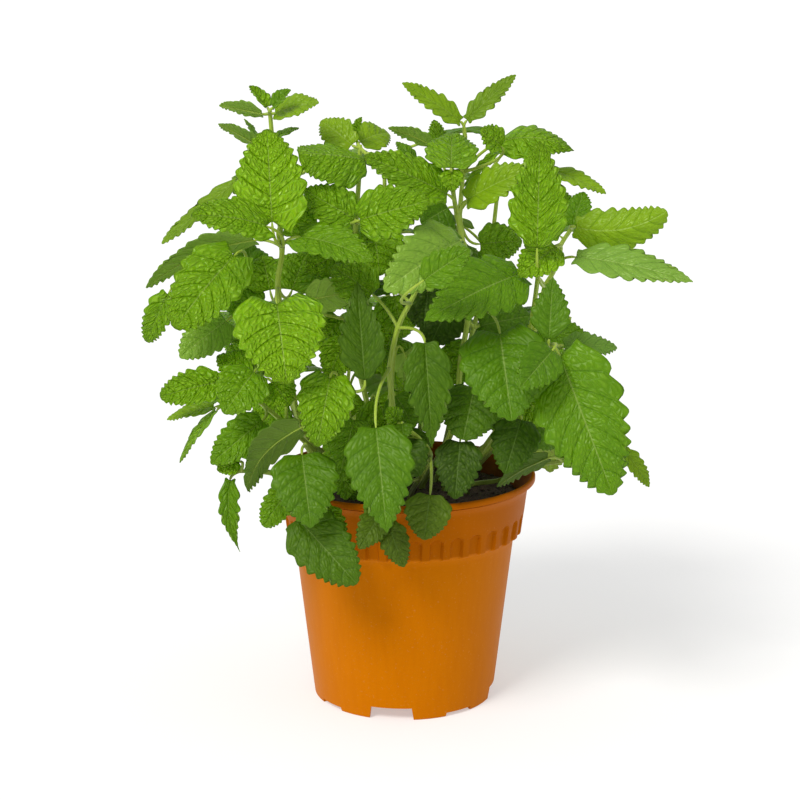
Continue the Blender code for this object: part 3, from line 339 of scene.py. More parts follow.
}

# Stems behind, from the pot's axis, whose leaves are set by the rule in rear_leaves. The three numbers of
# a pair of leaves are the stem point they grow from, their length and their droop. A stem is tall when it
# rises above TALL_STEM.
BACK_STEMS = {
    "stem_rear_left": stem_at((-20, 20), [(-30, 32, 150), (-46, 44, 205), (-54, 48, 254)]),
    "stem_rear_middle": stem_at((-4, 27), [(-6, 38, 155), (-9, 48, 212), (-10, 52, 264)]),
    "stem_rear_right": stem_at((18, 23), [(28, 34, 150), (42, 46, 205), (48, 50, 252)]),
    "stem_rear_low_left": stem_at((-32, 17), [(-54, 26, 130), (-74, 36, 156), (-82, 40, 182)]),
    "stem_rear_low_right": stem_at((33, 14), [(54, 26, 128), (76, 38, 156), (84, 42, 182)]),
    "stem_rear_low": stem_at((6, 34), [(9, 48, 128), (12, 60, 152), (12, 66, 178)]),
}
TALL_BACK_LEAVES = ((0.9, 48, 0.5), (1.5, 52, 0.42), (2.2, 50, 0.32), (3.0, 38, 0.12))
LOW_BACK_LEAVES = ((1.0, 48, 0.55), (1.9, 48, 0.45), (2.9, 44, 0.3))
TALL_STEM = 200
BACK_WIDTH = 0.76
BACK_LEAF = dict(arch=0.18, fold=0.12, sweep=0.0, taper=0.62, lobe=0.12)
BACK_LOOKS = ("fresh", "mid", "bright", "mid", "olive")
BACK_SIZES = (1.0, 0.86, 0.72)
BACK_STALKS = (0.36, 0.62, 0.2)
BACK_TURNS = (0, 25, -25, 50, -50, 75, -75)
BACK_PITCHES = (10, -15, 30, -35)

# How much nearer or farther than in the tables a leaf's base and tip may be, in the order that they are tried
SHIFT_PAIRS = ((0, 5), (4, 8), (5, 5), (0, 10), (8, 14), (10, 10), (0, 16), (12, 20), (6, -8))
SHIFTS = [(0, 0)] + [(way * base, way * tip) for base, tip in SHIFT_PAIRS for way in (1, -1)]


# Camera and light

def new_object(name, data):
    thing = bpy.data.objects.new(name, data)
    bpy.context.scene.collection.objects.link(thing)
    return thing


def set_camera():
    lens = bpy.data.cameras.new("camera")
    lens.sensor_width = SENSOR_WIDTH
    lens.lens = SENSOR_WIDTH * FOCAL_PIXELS / (2 * PICTURE_CENTRE)
    lens.clip_end = 60
    camera = new_object("camera", lens)
    camera.location = Vector(CAMERA) * MM
    camera.rotation_euler = (pi / 2 - CAMERA_TILT, 0, 0)
    bpy.context.scene.camera = camera


def set_studio():
    """A pale room, a softly glowing table and a soft key light from the upper left."""
    scene = bpy.context.scene
    scene.view_settings.view_transform = "Standard"
    world = bpy.data.worlds.new("room")
    world.use_nodes = True
    glow = world.node_tree.nodes["Background"].inputs
    glow["Color"].default_value = (1.0, 1.0, 1.0, 1)
    glow["Strength"].default_value = 0.62
    scene.world = world
    key = bpy.data.lights.new("key", "SUN")
    key.energy = 2.2
    key.angle = radians(22)
    key.color = (1.0, 0.985, 0.95)
    ray = Vector((0.5, 0.72, -0.9))
    new_object("key", key).rotation_euler = ray.to_track_quat("-Z", "Y").to_euler()
    bm = bmesh.new()
    bmesh.ops.create_grid(bm, x_segments=2, y_segments=2, size=20.0)
    piece_of(bm, "floor", [plain_floor()])


# Shader helpers

class Maker:
    """Adds nodes to one material and joins them up."""

    def __init__(self, name):
        self.material = bpy.data.materials.new(name)
        self.material.use_nodes = True
        self.nodes = self.material.node_tree.nodes
        self.links = self.material.node_tree.links
        self.shader = self.nodes["Principled BSDF"]
        self.place = self.add("TexCoord").outputs["Object"]

    def add(self, kind, inputs=None, **settings):
        node = self.nodes.new("ShaderNode" + kind)
        for key, value in settings.items():
            setattr(node, key, value)
        for key, value in (inputs or {}).items():
            self.give(node.inputs[key], value)
        return node

    def give(self, socket, value):
        if isinstance(value, bpy.types.NodeSocket):
            self.links.new(value, socket)
        elif socket.type == "RGBA":
            socket.default_value = (*value, 1)
        else:
            socket.default_value = value

    def maths(self, operation, first, second=0.0, clamp=False):
        node = self.add("Math", operation=operation, use_clamp=clamp)
        self.give(node.inputs[0], first)
        self.give(node.inputs[1], second)
        return node.outputs[0]

    def times(self, first, second):
        return self.maths("MULTIPLY", first, second)

    def spread(self, value, low, high, to_low=0.0, to_high=1.0):
        node = self.add("MapRange", {"From Min": low, "From Max": high, "To Min": to_low, "To Max": to_high},
                        interpolation_type="SMOOTHSTEP")
        self.give(node.inputs["Value"], value)
        return node.outputs["Result"]

    def mix(self, share, first, second, blend="MIX"):
        node = self.add("Mix", data_type="RGBA", blend_type=blend)
        self.give(node.inputs["Factor"], share)
        self.give(node.inputs[6], first)
        self.give(node.inputs[7], second)
        return node.outputs[2]

    def darken(self, share, colour, tint):
        """Where share is 1, the colour times a tint."""
        return self.mix(share, colour, self.mix(1.0, colour, tint, "MULTIPLY"))

    def grain(self, scale, detail=3.0, rough=0.55, stretch=1.0):
        """Noise, drawn out upwards where stretch is under 1."""
        place = self.place
        if stretch < 1:
            place = self.add("Mapping", {"Vector": place, "Scale": (1.0, 1.0, stretch)}).outputs["Vector"]
        node = self.add("TexNoise", {"Vector": place, "Scale": scale, "Detail": detail, "Roughness": rough})
        return node.outputs["Fac"]

    def bump(self, strength, distance, height):
        node = self.add("Bump", {"Strength": strength, "Distance": distance, "Height": height})
        return node.outputs["Normal"]

    def set(self, **values):
        """Gives the shader's sockets their values. An underscore stands for a space in a socket's name."""
        for key, value in values.items():
            self.give(self.shader.inputs[key.replace("_", " ")], value)


def plain_floor():
    make = Maker("pale_floor")
    colour = make.mix(make.grain(3.0), (0.58, 0.58, 0.58), (0.61, 0.61, 0.61))
    make.set(Base_Color=colour, Roughness=0.8, Specular_IOR_Level=0.1, Emission_Color=(1.0, 1.0, 1.0),
             Emission_Strength=0.42)
    return make.material


def orange_plastic():
    """Satin orange plastic with faint mould marks and specks of dust, painted shade on the collar and painted
    shade on the inner wall inside the rim.
    """
    make = Maker("pot_plastic_orange")
    height = make.add("SeparateXYZ", {"Vector": make.place}).outputs["Z"]
    cloud = make.grain(28.0, 4.0)
    drawn = make.grain(420.0, 2.0, stretch=0.08)
    colour = make.mix(cloud, (0.5, 0.142, 0.0), (0.55, 0.158, 0.0))
    colour = make.mix(make.spread(drawn, 0.35, 0.75, 0.0, 0.15), colour, (0.42, 0.1, 0.0))
    # Above the collar's foot the plastic is painted darker and redder: partly a redder tone of its own,
    # partly a painted shade under the rim and the leaves.
    collar_shade = make.spread(height, (COLLAR_FOOT - 1) * MM, (COLLAR_FOOT + 1) * MM, 0.0, 0.6)
    colour = make.mix(collar_shade, colour, (0.33, 0.075, 0.0))
    speck = make.spread(make.grain(900.0, 2.0), 0.62, 0.75, 0.0, 0.1)
    colour = make.mix(speck, colour, (0.75, 0.45, 0.22))
    level = make.add("VectorMath", {0: make.place, 1: (1.0, 1.0, 0.0)}, operation="MULTIPLY")
    radius = make.add("VectorMath", {0: level.outputs["Vector"]}, operation="LENGTH").outputs["Value"]
    # Near the rim, only the inner wall is within this cone
    inside = make.maths("SUBTRACT", radius, make.times(height, 0.4))
    inside = make.spread(inside, 18.0 * MM, 18.3 * MM, 1.0, 0.0)
    # Painted shade on the inner wall near the soil, fading towards the rim.
    inner_wall_shade = make.maths("ADD", height, make.times(cloud, 8 * MM))
    inner_wall_shade = make.spread(inner_wall_shade, 108 * MM, 119 * MM, 0.85, 0.2)
    inner_wall_shade = make.times(inner_wall_shade, make.spread(height, 99 * MM, 101 * MM))
    colour = make.mix(make.times(inner_wall_shade, inside), colour, (0.075, 0.028, 0.008))
    normal = make.bump(0.12, 0.0002, make.maths("ADD", make.grain(1400.0, 2.0), drawn))
    make.set(Base_Color=colour, Roughness=make.spread(cloud, 0.2, 0.8, 0.42, 0.55), Normal=normal,
             Specular_IOR_Level=0.06, Specular_Tint=(1.0, 0.55, 0.15))
    return make.material


def potting_mix():
    """Moist peat: dark brown crumbs with some paler fibres."""
    make = Maker("potting_mix")
    crumb = make.add("TexVoronoi", {"Vector": make.place, "Scale": 420.0}, feature="F1").outputs["Distance"]
    fibre = make.grain(900.0, 4.0, 0.7)
    colour = make.mix(crumb, (0.02, 0.011, 0.006), (0.06, 0.036, 0.022))
    colour = make.mix(make.spread(fibre, 0.62, 0.72, 0.0, 0.6), colour, (0.16, 0.1, 0.055))
    normal = make.bump(0.8, 0.0012, make.maths("ADD", crumb, fibre))
    make.set(Base_Color=colour, Roughness=make.spread(fibre, 0.3, 0.7, 0.78, 0.98), Normal=normal)
    return make.material


def leaf_nodes(make):
    """What both sides of a leaf share: its tone, its veins and its fine net of wrinkles."""
    tone = make.add("Attribute", attribute_name="leaf_tone").outputs["Color"]
    tone = make.add("SeparateColor", {"Color": tone}).outputs
    flat = make.add("SeparateXYZ", {"Vector": make.add("UVMap", uv_map="blade").outputs["UV"]}).outputs
    across = make.maths("ABSOLUTE", make.maths("SUBTRACT", flat["X"], 0.5))
    middle = make.spread(across, 0.0, 0.016, 1.0, 0.0)
    step = make.maths("ABSOLUTE", make.maths("SUBTRACT", make.maths("FRACT", flat["Y"]), 0.5))
    side = make.spread(step, 0.44, 0.5, 0.0, 1.0)
    side = make.times(side, make.spread(across, 0.36, 0.5, 1.0, 0.2))
    run = make.add("UVMap", uv_map="wrinkles").outputs["UV"]
    bend = make.add("TexNoise", {"Vector": run, "Scale": 0.35, "Detail": 1.0}, noise_dimensions="2D")
    bent = make.add("VectorMath", {0: run, 1: bend.outputs["Color"]}, operation="ADD")
    net = make.add("TexVoronoi", {"Vector": bent.outputs["Vector"], "Scale": 1.0}, feature="DISTANCE_TO_EDGE",
                   voronoi_dimensions="2D")
    return tone, middle, side, net.outputs["Distance"]


def leaf_upper():
    """A leaf's upper side: softly shining green with sunken veins and, where it is bright, a crisp net, with
    painted highlights on the net's ridges, painted shade in its furrows and side veins and a painted
    grey-green sheen.
    """
    make = Maker("leaf_upper")
    tone, middle, side, net = leaf_nodes(make)
    ramp = make.add("ValToRGB", {"Fac": tone["Red"]})
    stops = ramp.color_ramp.elements
    stops[0].color = (0.02, 0.048, 0.0, 1)
    stops[1].color = (0.3, 0.56, 0.006, 1)
    stops.new(0.5).color = (0.088, 0.225, 0.001, 1)
    colour = make.mix(tone["Green"], ramp.outputs["Color"], (0.27, 0.4, 0.01))
    # The grey-green share is a painted sheen.
    colour = make.mix(tone["Blue"], colour, (0.26, 0.43, 0.09))
    cloud = make.grain(90.0)
    colour = make.darken(make.spread(cloud, 0.35, 0.7, 0.0, 0.4), colour, (0.6, 0.7, 0.6))
    smooth = make.times(make.maths("MAXIMUM", tone["Green"], tone["Blue"]), 0.8)
    crisp = make.maths("SUBTRACT", tone["Red"], smooth, clamp=True)
    netted = make.spread(crisp, 0.5, 0.95, 0.2, 1.0)
    # Painted highlight on the tops of the net's wrinkles.
    ridge_highlight = make.times(make.spread(net, 0.1, 0.4, 0.0, 0.42), netted)
    colour = make.mix(ridge_highlight, colour, (0.39, 0.63, 0.05))
    # Painted shade in the net's furrows and along the side veins.
    for furrow_shade in (make.times(make.spread(net, 0.0, 0.1, 0.6, 0.0), netted),
                   make.times(side, make.spread(crisp, 0.5, 0.95, 0.6, 0.35))):
        colour = make.darken(furrow_shade, colour, (0.42, 0.58, 0.35))
    pale_rib = make.mix(tone["Red"], (0.12, 0.22, 0.04), (0.48, 0.66, 0.14))
    colour = make.mix(make.times(middle, 0.7), colour, pale_rib)
    relief = make.maths("SUBTRACT", make.spread(net, 0.0, 0.42), make.times(side, 0.8))
    relief = make.maths("SUBTRACT", relief, make.times(middle, 0.3))
    normal = make.bump(make.spread(crisp, 0.4, 1.0, 0.3, 0.95), 0.0011, relief)
    rough = make.spread(tone["Red"], 0.1, 0.9, 0.44, 0.26)
    rough = make.maths("ADD", rough, make.spread(cloud, 0.2, 0.8, 0.0, 0.12))
    make.set(Base_Color=colour, Roughness=rough, Normal=normal, Specular_IOR_Level=0.38,
             Specular_Tint=(0.9, 1.0, 0.6))
    let_light_through(make, make.mix(0.5, colour, (0.4, 0.7, 0.0)), normal, 0.3)
    return make.material


def leaf_under():
    """A leaf's underside: paler, greyer and matt, with raised veins; its pale end is partly painted light for
    undersides in shade.
    """
    make = Maker("leaf_under")
    tone, middle, side, net = leaf_nodes(make)
    # The pale end is partly the underside's own paleness and partly painted light, lifted for undersides that
    # lie in shade.
    colour = make.mix(tone["Red"], (0.07, 0.13, 0.02), (0.52, 0.78, 0.12))
    colour = make.mix(make.times(tone["Green"], 0.5), colour, (0.33, 0.44, 0.06))
    cloud = make.grain(110.0)
    colour = make.darken(make.spread(cloud, 0.3, 0.7, 0.0, 0.3), colour, (0.7, 0.8, 0.7))
    ridge = make.maths("MAXIMUM", middle, side)
    pale_rib = make.mix(tone["Red"], (0.11, 0.19, 0.04), (0.52, 0.68, 0.2))
    colour = make.mix(make.times(ridge, 0.6), colour, pale_rib)
    relief = make.maths("ADD", ridge, make.times(make.spread(net, 0.0, 0.2, 1.0, 0.0), 0.5))
    normal = make.bump(0.6, 0.0005, relief)
    make.set(Base_Color=colour, Roughness=make.spread(cloud, 0.2, 0.8, 0.55, 0.7), Normal=normal,
             Sheen_Weight=0.08, Sheen_Roughness=0.5, Specular_IOR_Level=0.2,
             Specular_Tint=(0.85, 1.0, 0.6))
    let_light_through(make, make.mix(0.5, colour, (0.4, 0.7, 0.02)), normal, 0.45)
    return make.material


def let_light_through(make, colour, normal, share):
    glow = make.add("BsdfTranslucent", {"Color": colour, "Normal": normal})
    both = make.add("MixShader", {"Fac": share})
    make.links.new(make.shader.outputs["BSDF"], both.inputs[1])
    make.links.new(glow.outputs["BSDF"], both.inputs[2])
    make.links.new(both.outputs["Shader"], make.nodes["Material Output"].inputs["Surface"])


def green_stalk():
    """Stems and leaf stalks: yellow-green, darker near the soil partly as painted shade, faintly ribbed and
    downy.
    """
    make = Maker("green_stalk")
    cloud = make.grain(70.0, 4.0)
    fibre = make.grain(1500.0, 2.0, stretch=0.12)
    colour = make.mix(cloud, (0.23, 0.34, 0.012), (0.37, 0.51, 0.03))
    colour = make.mix(make.spread(fibre, 0.4, 0.7, 0.0, 0.35), colour, (0.5, 0.64, 0.12))
    height = make.add("SeparateXYZ", {"Vector": make.place}).outputs["Z"]
    # Darker near the soil: partly the older stem's own darker colour, partly painted shade low in the bush.
    colour = make.mix(make.spread(height, 105 * MM, 155 * MM, 0.8, 0.0), colour, (0.075, 0.105, 0.01))
    make.set(Base_Color=colour, Roughness=make.spread(cloud, 0.3, 0.7, 0.45, 0.6),
             Normal=make.bump(0.35, 0.0003, fibre), Sheen_Weight=0.15, Sheen_Roughness=0.4)
    return make.material


# Pieces

def mesh_of(bm, name):
    mesh = bpy.data.meshes.new(name)
    bm.to_mesh(mesh)
    bm.free()
    return mesh


def piece_of(bm, name, materials):
    """A finished, smoothly shaded piece from a bmesh, with its materials."""
    return piece_from(mesh_of(bm, name), name, materials)


def piece_from(mesh, name, materials):
    for material in materials:
        mesh.materials.append(material)
    mesh.shade_smooth()
    return new_object(name, mesh)


def settled_mesh(thing):
    """The mesh of an object with its modifiers or bevel carried out."""
    bpy.context.view_layer.update()
    seen = thing.evaluated_get(bpy.context.evaluated_depsgraph_get())
    return bpy.data.meshes.new_from_object(seen)


def dressed(piece, node):
    """Puts a piece in a node's stead."""
    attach(piece, "root")
    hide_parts(node)


def turned(profile, steps):
    """A closed shape turned round the pot's axis from (radius, height) points."""
    bm = bmesh.new()
    verts = [bm.verts.new((r * MM, 0, z * MM)) for r, z in profile]
    edges = [bm.edges.new(pair) for pair in zip(verts, verts[1:])]
    bmesh.ops.spin(bm, geom=verts + edges, cent=(0, 0, 0), axis=(0, 0, 1), angle=2 * pi, steps=steps,
                   use_merge=True, use_duplicate=False)
    bmesh.ops.remove_doubles(bm, verts=bm.verts, dist=1e-6)
    bmesh.ops.recalc_face_normals(bm, faces=bm.faces)
    return bm


def wall_radius(height):
    """The pot's outer radius below the collar."""
    return BODY_FOOT_RADIUS + (BODY_TOP_RADIUS - BODY_FOOT_RADIUS) * height / COLLAR_FOOT


def inner_radius(height):
    if height <= COLLAR_FOOT:
        return wall_radius(height) - WALL
    low = BODY_TOP_RADIUS - WALL
    return low + (COLLAR_TOP_RADIUS - WALL - low) * (height - COLLAR_FOOT) / (POT_HEIGHT - 1.0 - COLLAR_FOOT)


def collar_radius(height):
    share = (height - COLLAR_FOOT) / (COLLAR_TOP - COLLAR_FOOT)
    return COLLAR_FOOT_RADIUS + (COLLAR_TOP_RADIUS - COLLAR_FOOT_RADIUS) * share


def niche_depth(turn, height):
    """How deep the collar's arched niches are at a turn in degrees and a height."""
    offset = (turn - NICHE_TURN + 180 / NICHES) % (360 / NICHES) - 180 / NICHES
    across = radians(offset) * COLLAR_FOOT_RADIUS
    half = radians(NICHE_HALF) * COLLAR_FOOT_RADIUS
    springing = COLLAR_FOOT + NICHE_HEIGHT - half
    inside = half - (hypot(across, height - springing) if height > springing else abs(across))
    share = min(max(inside / NICHE_EDGE, 0.0), 1.0)
    return NICHE_DEPTH * share * share * (3 - 2 * share)


def pot_profile():
    """The pot's section from the middle of its underside, round the rim, to the middle of its floor."""
    outside = [(BODY_FOOT_RADIUS - 0.5, 0.0), (BODY_FOOT_RADIUS, 0.5)]
    outside += [(wall_radius(h), h) for h in (4, 8, 12, 24, 36, 48, 60, 72, 80)]
    outside += [(BODY_TOP_RADIUS - 0.1, COLLAR_FOOT - 1.9), (BODY_TOP_RADIUS + 0.5, COLLAR_FOOT - 1.2),
                (COLLAR_FOOT_RADIUS - 0.5, COLLAR_FOOT - 0.3), (COLLAR_FOOT_RADIUS - 0.1, COLLAR_FOOT)]
    outside += [(collar_radius(COLLAR_FOOT + 0.5 * k), COLLAR_FOOT + 0.5 * k) for k in range(1, 25)]
    outside += [(collar_radius(h), h) for h in (99.0, 102.0, 104.6)]
    outside += [(COLLAR_TOP_RADIUS, 106.2), (61.7, 107.3), (62.5, 108.5), (63.4, 109.6), (63.6, 109.9),
                (62.9, 110.0), (62.9, 110.5), (64.6, 110.5), (64.9, 110.7), (RIM_RADIUS, 111.0),
                (RIM_RADIUS, 112.4), (64.8, 113.0), (64.3, 113.4), (63.7, POT_HEIGHT), (63.1, 113.4),
                (62.7, 113.0), (62.4, 112.2), (61.8, 110.4), (60.8, 108.2), (59.4, 105.8)]
    inside = [(inner_radius(h), h) for h in (103.5, 96.0, COLLAR_FOOT, 60.0, 30.0, FLOOR_TOP + 1.5)]
    inside += [(inner_radius(FLOOR_TOP) - 1.5, FLOOR_TOP), (0, FLOOR_TOP)]
    ring_top = wall_radius(FLOOR_UNDER) - FOOT_WIDTH
    ring_foot = BODY_FOOT_RADIUS - FOOT_WIDTH
    foot = [(0, FLOOR_UNDER), (ring_top - 0.6, FLOOR_UNDER), (ring_top, FLOOR_UNDER - 0.6), (ring_foot, 0.5),
            (ring_foot + 0.5, 0.0)]
    return foot + outside + inside


def notch_cutter(width, height, turn):
    """A block that is a little wider below, to cut a notch in the foot ring with."""
    bm = bmesh.new()
    bmesh.ops.create_cube(bm, size=1.0)
    for vert in bm.verts:
        wide = width * (1.0 if vert.co.z > 0 else 1.14)
        along = vert.co.x * 20 + BODY_FOOT_RADIUS
        place = Vector((along, vert.co.y * wide, height if vert.co.z > 0 else -4.0))
        vert.co = place * MM
    bmesh.ops.rotate(bm, verts=bm.verts, cent=(0, 0, 0), matrix=Matrix.Rotation(radians(turn), 3, "Z"))
    return cutter_of(bm)


def drain_cutter(turn):
    bm = bmesh.new()
    bmesh.ops.create_cone(bm, cap_ends=True, segments=32, depth=8 * MM, radius1=DRAIN_RADIUS * MM,
                          radius2=DRAIN_RADIUS * MM)
    hole = polar(DRAIN_CIRCLE, radians(turn), FLOOR_UNDER)
    bmesh.ops.translate(bm, verts=bm.verts, vec=hole * MM)
    return cutter_of(bm)


def cutter_of(bm):
    bm.normal_update()
    bmesh.ops.recalc_face_normals(bm, faces=bm.faces)
    return bpy.data.objects.new("cutter", mesh_of(bm, "cutter"))


def cut_away(piece, cutters):
    """Cuts all the cutters out of a piece and clears them away."""
    box = bpy.data.collections.new("cutters")
    bpy.context.scene.collection.children.link(box)
    for cutter in cutters:
        box.objects.link(cutter)
    cut = piece.modifiers.new("cut", "BOOLEAN")
    cut.operation = "DIFFERENCE"
    cut.solver = "MANIFOLD"
    cut.operand_type = "COLLECTION"
    cut.collection = box
    mesh = settled_mesh(piece)
    piece.modifiers.clear()
    piece.data = mesh
    for cutter in cutters:
        bpy.data.objects.remove(cutter)
    bpy.data.collections.remove(box)


def mould_pot():
    """The pot with its niches, rolled rim, notched foot and drain holes."""
    bm = turned(pot_profile(), POT_STEPS)
    for vert in bm.verts:
        radius = hypot(vert.co.x, vert.co.y) / MM
        height = vert.co.z / MM
        if COLLAR_FOOT - 0.6 < height < COLLAR_FOOT + 12 and radius > COLLAR_FOOT_RADIUS - 0.7:
            depth = niche_depth(degrees(atan2(vert.co.y, vert.co.x)), height)
            vert.co.x *= (radius - depth) / radius
            vert.co.y *= (radius - depth) / radius
    pot = piece_of(bm, "pot_moulded", [orange_plastic()])
    cutters = []
    for quarter in range(4):
        turn = FIRST_NOTCH_TURN + 90 * quarter
        cutters.append(notch_cutter(*DEEP_NOTCH, turn))
        cutters.append(notch_cutter(*SHALLOW_NOTCH, turn + 45))
        cutters.append(drain_cutter(turn + DRAIN_TURN))
    cut_away(pot, cutters)
    pot.data.shade_smooth()
    pot.data.set_sharp_from_angle(angle=SHARP_ANGLE)
    dressed(pot, "pot")


def lay_soil(roots):
    """The soil: a rough surface that rises a little at the stems, strewn with crumbs."""
    low = FLOOR_TOP + SOIL_GAP
    edge = inner_radius(SOIL_TOP) - SOIL_GAP
    profile = [(0, low), (inner_radius(low) - 0.6, low), (inner_radius(COLLAR_FOOT) - 0.5, COLLAR_FOOT),
               (edge - 0.3, SOIL_TOP - 1.5)]
    profile += [(edge * share, SOIL_TOP + SOIL_CROWN * (1 - share ** 2))
                for share in np.linspace(0.97, 0.02, 42)]
    profile.append((0, SOIL_TOP + SOIL_CROWN))
    bm = turned(profile, 180)
    for vert in bm.verts:
        if vert.co.z > (SOIL_TOP - 0.5) * MM:
            place = vert.co / MM
            rough = noise.fractal(place * 0.16, 0.8, 2.2, 5) * 1.5 + noise.noise(place * 0.9) * 0.5
            mound = sum(exp(-((place.x - x) ** 2 + (place.y - y) ** 2) / 18) for x, y in roots)
            vert.co.z += (rough + min(mound, 1.0) * 0.8 - 0.4) * MM
    draw = random.Random(SEED)
    for _ in range(CRUMBS):
        size = draw.uniform(*CRUMB_SIZES)
        reach = sqrt(draw.random()) * (edge - 2.5)
        turn = draw.uniform(0, 2 * pi)
        crumb = bmesh.ops.create_icosphere(bm, subdivisions=1, radius=size * MM)["verts"]
        for vert in crumb:
            vert.co *= draw.uniform(0.65, 1.15)
            vert.co.z *= 0.75
        top = SOIL_TOP + SOIL_CROWN * (1 - (reach / edge) ** 2) + 0.2
        bmesh.ops.translate(bm, verts=crumb, vec=polar(reach, turn, top) * MM)
    dressed(piece_of(bm, "soil_crumbly", [potting_mix()]), "soil")


# The plant

def settled_pose(row, root, base_shift, tip_shift):
    """The pose of a leaf of the tables, with its base and tip this much nearer."""
    base = seen_at(*row["base"], base_shift)
    tip = seen_at(*row["tip"], tip_shift)
    along = (tip - base).normalized()
    viewer = Vector(CAMERA) - (base + tip) / 2
    viewer = (viewer - along * viewer.dot(along)).normalized()
    above = along.cross(viewer)
    if above.z < 0:
        above = -above
    turn = radians(row["face"])
    face = viewer * cos(turn) + above * sin(turn)
    return blade_pose(row, root, base, tip, face)


def blade_pose(shape, root, base, tip, face):
    """A leaf's shape with its root on the stem, its blade's ends and its curve, upper side to the face."""
    chord = tip - base
    along = chord.normalized()
    upper = (face - along * face.dot(along)).normalized()
    control = (base + tip) / 2 + upper * (shape["arch"] * chord.length)
    control += along.cross(upper) * (shape["sweep"] * chord.length)
    return {**shape, "root": root, "base": base, "tip": tip, "control": control, "upper": upper,
            "length": chord.length}


def spine(pose, t):
    """The midrib's point at t, with the way along it, to its right and out of its upper side."""
    base, control, tip = pose["base"], pose["control"], pose["tip"]
    point = base * (1 - t) ** 2 + control * (2 * t * (1 - t)) + tip * t ** 2
    along = ((control - base) * (1 - t) + (tip - control) * t).normalized()
    upper = (pose["upper"] - along * pose["upper"].dot(along)).normalized()
    return point, along, along.cross(upper), upper


def stem_knots(root, through):
    """A stem's points: its foot in the soil, its collar and the points it rises through."""
    return [Vector((*root, SOIL_TOP - ROOT_DEPTH)), Vector((*root, SOIL_TOP + 4))] + through


def node_point(knots, node):
    """The stem's point number node: 0 is its collar, and each point it rises through counts one."""
    ends = knots + [knots[-1] * 2 - knots[-2]]
    low = min(int(node), len(knots) - 3)
    before, here, after, beyond = ends[low:low + 4]
    t = node - low
    return 0.5 * (here * 2 + (after - before) * t + (before * 2 - here * 5 + after * 4 - beyond) * t ** 2
                  + (here * 3 - before - after * 3 + beyond) * t ** 3)


def found_in(tree, pose):
    """Whether the part's solid has its tip and its blade's first row of points where this pose has them."""
    first_row = 0.14 if pose["length"] > 49 else 0.2 if pose["length"] > 34 else 0.4
    for t in (1.0, first_row):
        point, _, _, upper = spine(pose, t)
        faces = (point + upper * (side * SOLID_BLADE / 2) for side in (-1, 1))
        if min(tree.find(spot)[2] for spot in faces) > SAME_PLACE:
            return False
    return True


def solid_points(node):
    """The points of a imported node, in mm."""
    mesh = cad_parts[node].data
    tree = KDTree(len(mesh.vertices))
    for number, vert in enumerate(mesh.vertices):
        tree.insert(vert.co / MM, number)
    tree.balance()
    return tree


def front_leaves(name, knots):
    """The leaves of the tables, each where the part has settled it."""
    tree = solid_points(name)
    found = []
    for row in STEMS[name]["leaves"]:
        root = node_point(knots, row["node"])
        poses = (settled_pose(row, root, *shift) for shift in SHIFTS)
        pose = next((pose for pose in poses if found_in(tree, pose)), None)
        if pose:
            found.append(pose)
        else:
            print("no place for", name, row["base"])
    return found


def back_rows(stem):
    return TALL_BACK_LEAVES if stem["through"][-1][2] > TALL_STEM else LOW_BACK_LEAVES


def rear_leaves(name, knots, draw):
    """The leaves of a stem behind: in pairs, outwards and a little down, where the part has settled them."""
    tree = solid_points(name)
    stem = BACK_STEMS[name]
    top = stem["through"][-1]
    outward = degrees(atan2(top[1], top[0]))
    found = []
    for level, (node, length, droop) in enumerate(back_rows(stem)):
        for half in (0, 180):
            turn = outward + 90 * ((level + 1) % 2) + half
            root = node_point(knots, node)
            lean = draw.uniform(-8, 8)
            look = BACK_LOOKS[(level * 2 + half // 180 + len(name)) % len(BACK_LOOKS)]
            for size, stalk, pitch, extra in product(BACK_SIZES, BACK_STALKS, BACK_PITCHES, BACK_TURNS):
                angle = radians(turn + extra + lean)
                rise = radians(pitch)
                way = polar(cos(rise), angle, sin(rise))
                base = root + way * (length * size * stalk) + Vector((0, 0, length * 0.12))
                tip = base + way * (length * size) - Vector((0, 0, length * droop))
                shape = dict(BACK_LEAF, width=length * size * BACK_WIDTH, look=look)
                pose = blade_pose(shape, root, base, tip, Vector((0, 0, 1)) + way * 0.4)
                if found_in(tree, pose):
                    found.append(pose)
                    break
            else:
                print("no place for", name, level, half)
    return found


def blade_outline(t, taper, lobe):
    """How wide the blade is at each t, as a share of its width. A base without lobes is wedge-shaped."""
    wave = np.sin(pi * np.clip(t, 0, 1) ** 0.66).clip(0, 1)
    return np.where(t < 0.35, wave ** max(1.0, 1.5 - 4 * lobe), wave ** taper)


def unit(rows):
    return rows / np.linalg.norm(rows, axis=1, keepdims=True)


def vein_pairs(length):
    """How many side veins a blade of this length has on each half."""
    return 7 if length > 50 else 6 if length > 30 else 5 if length > 18 else 4


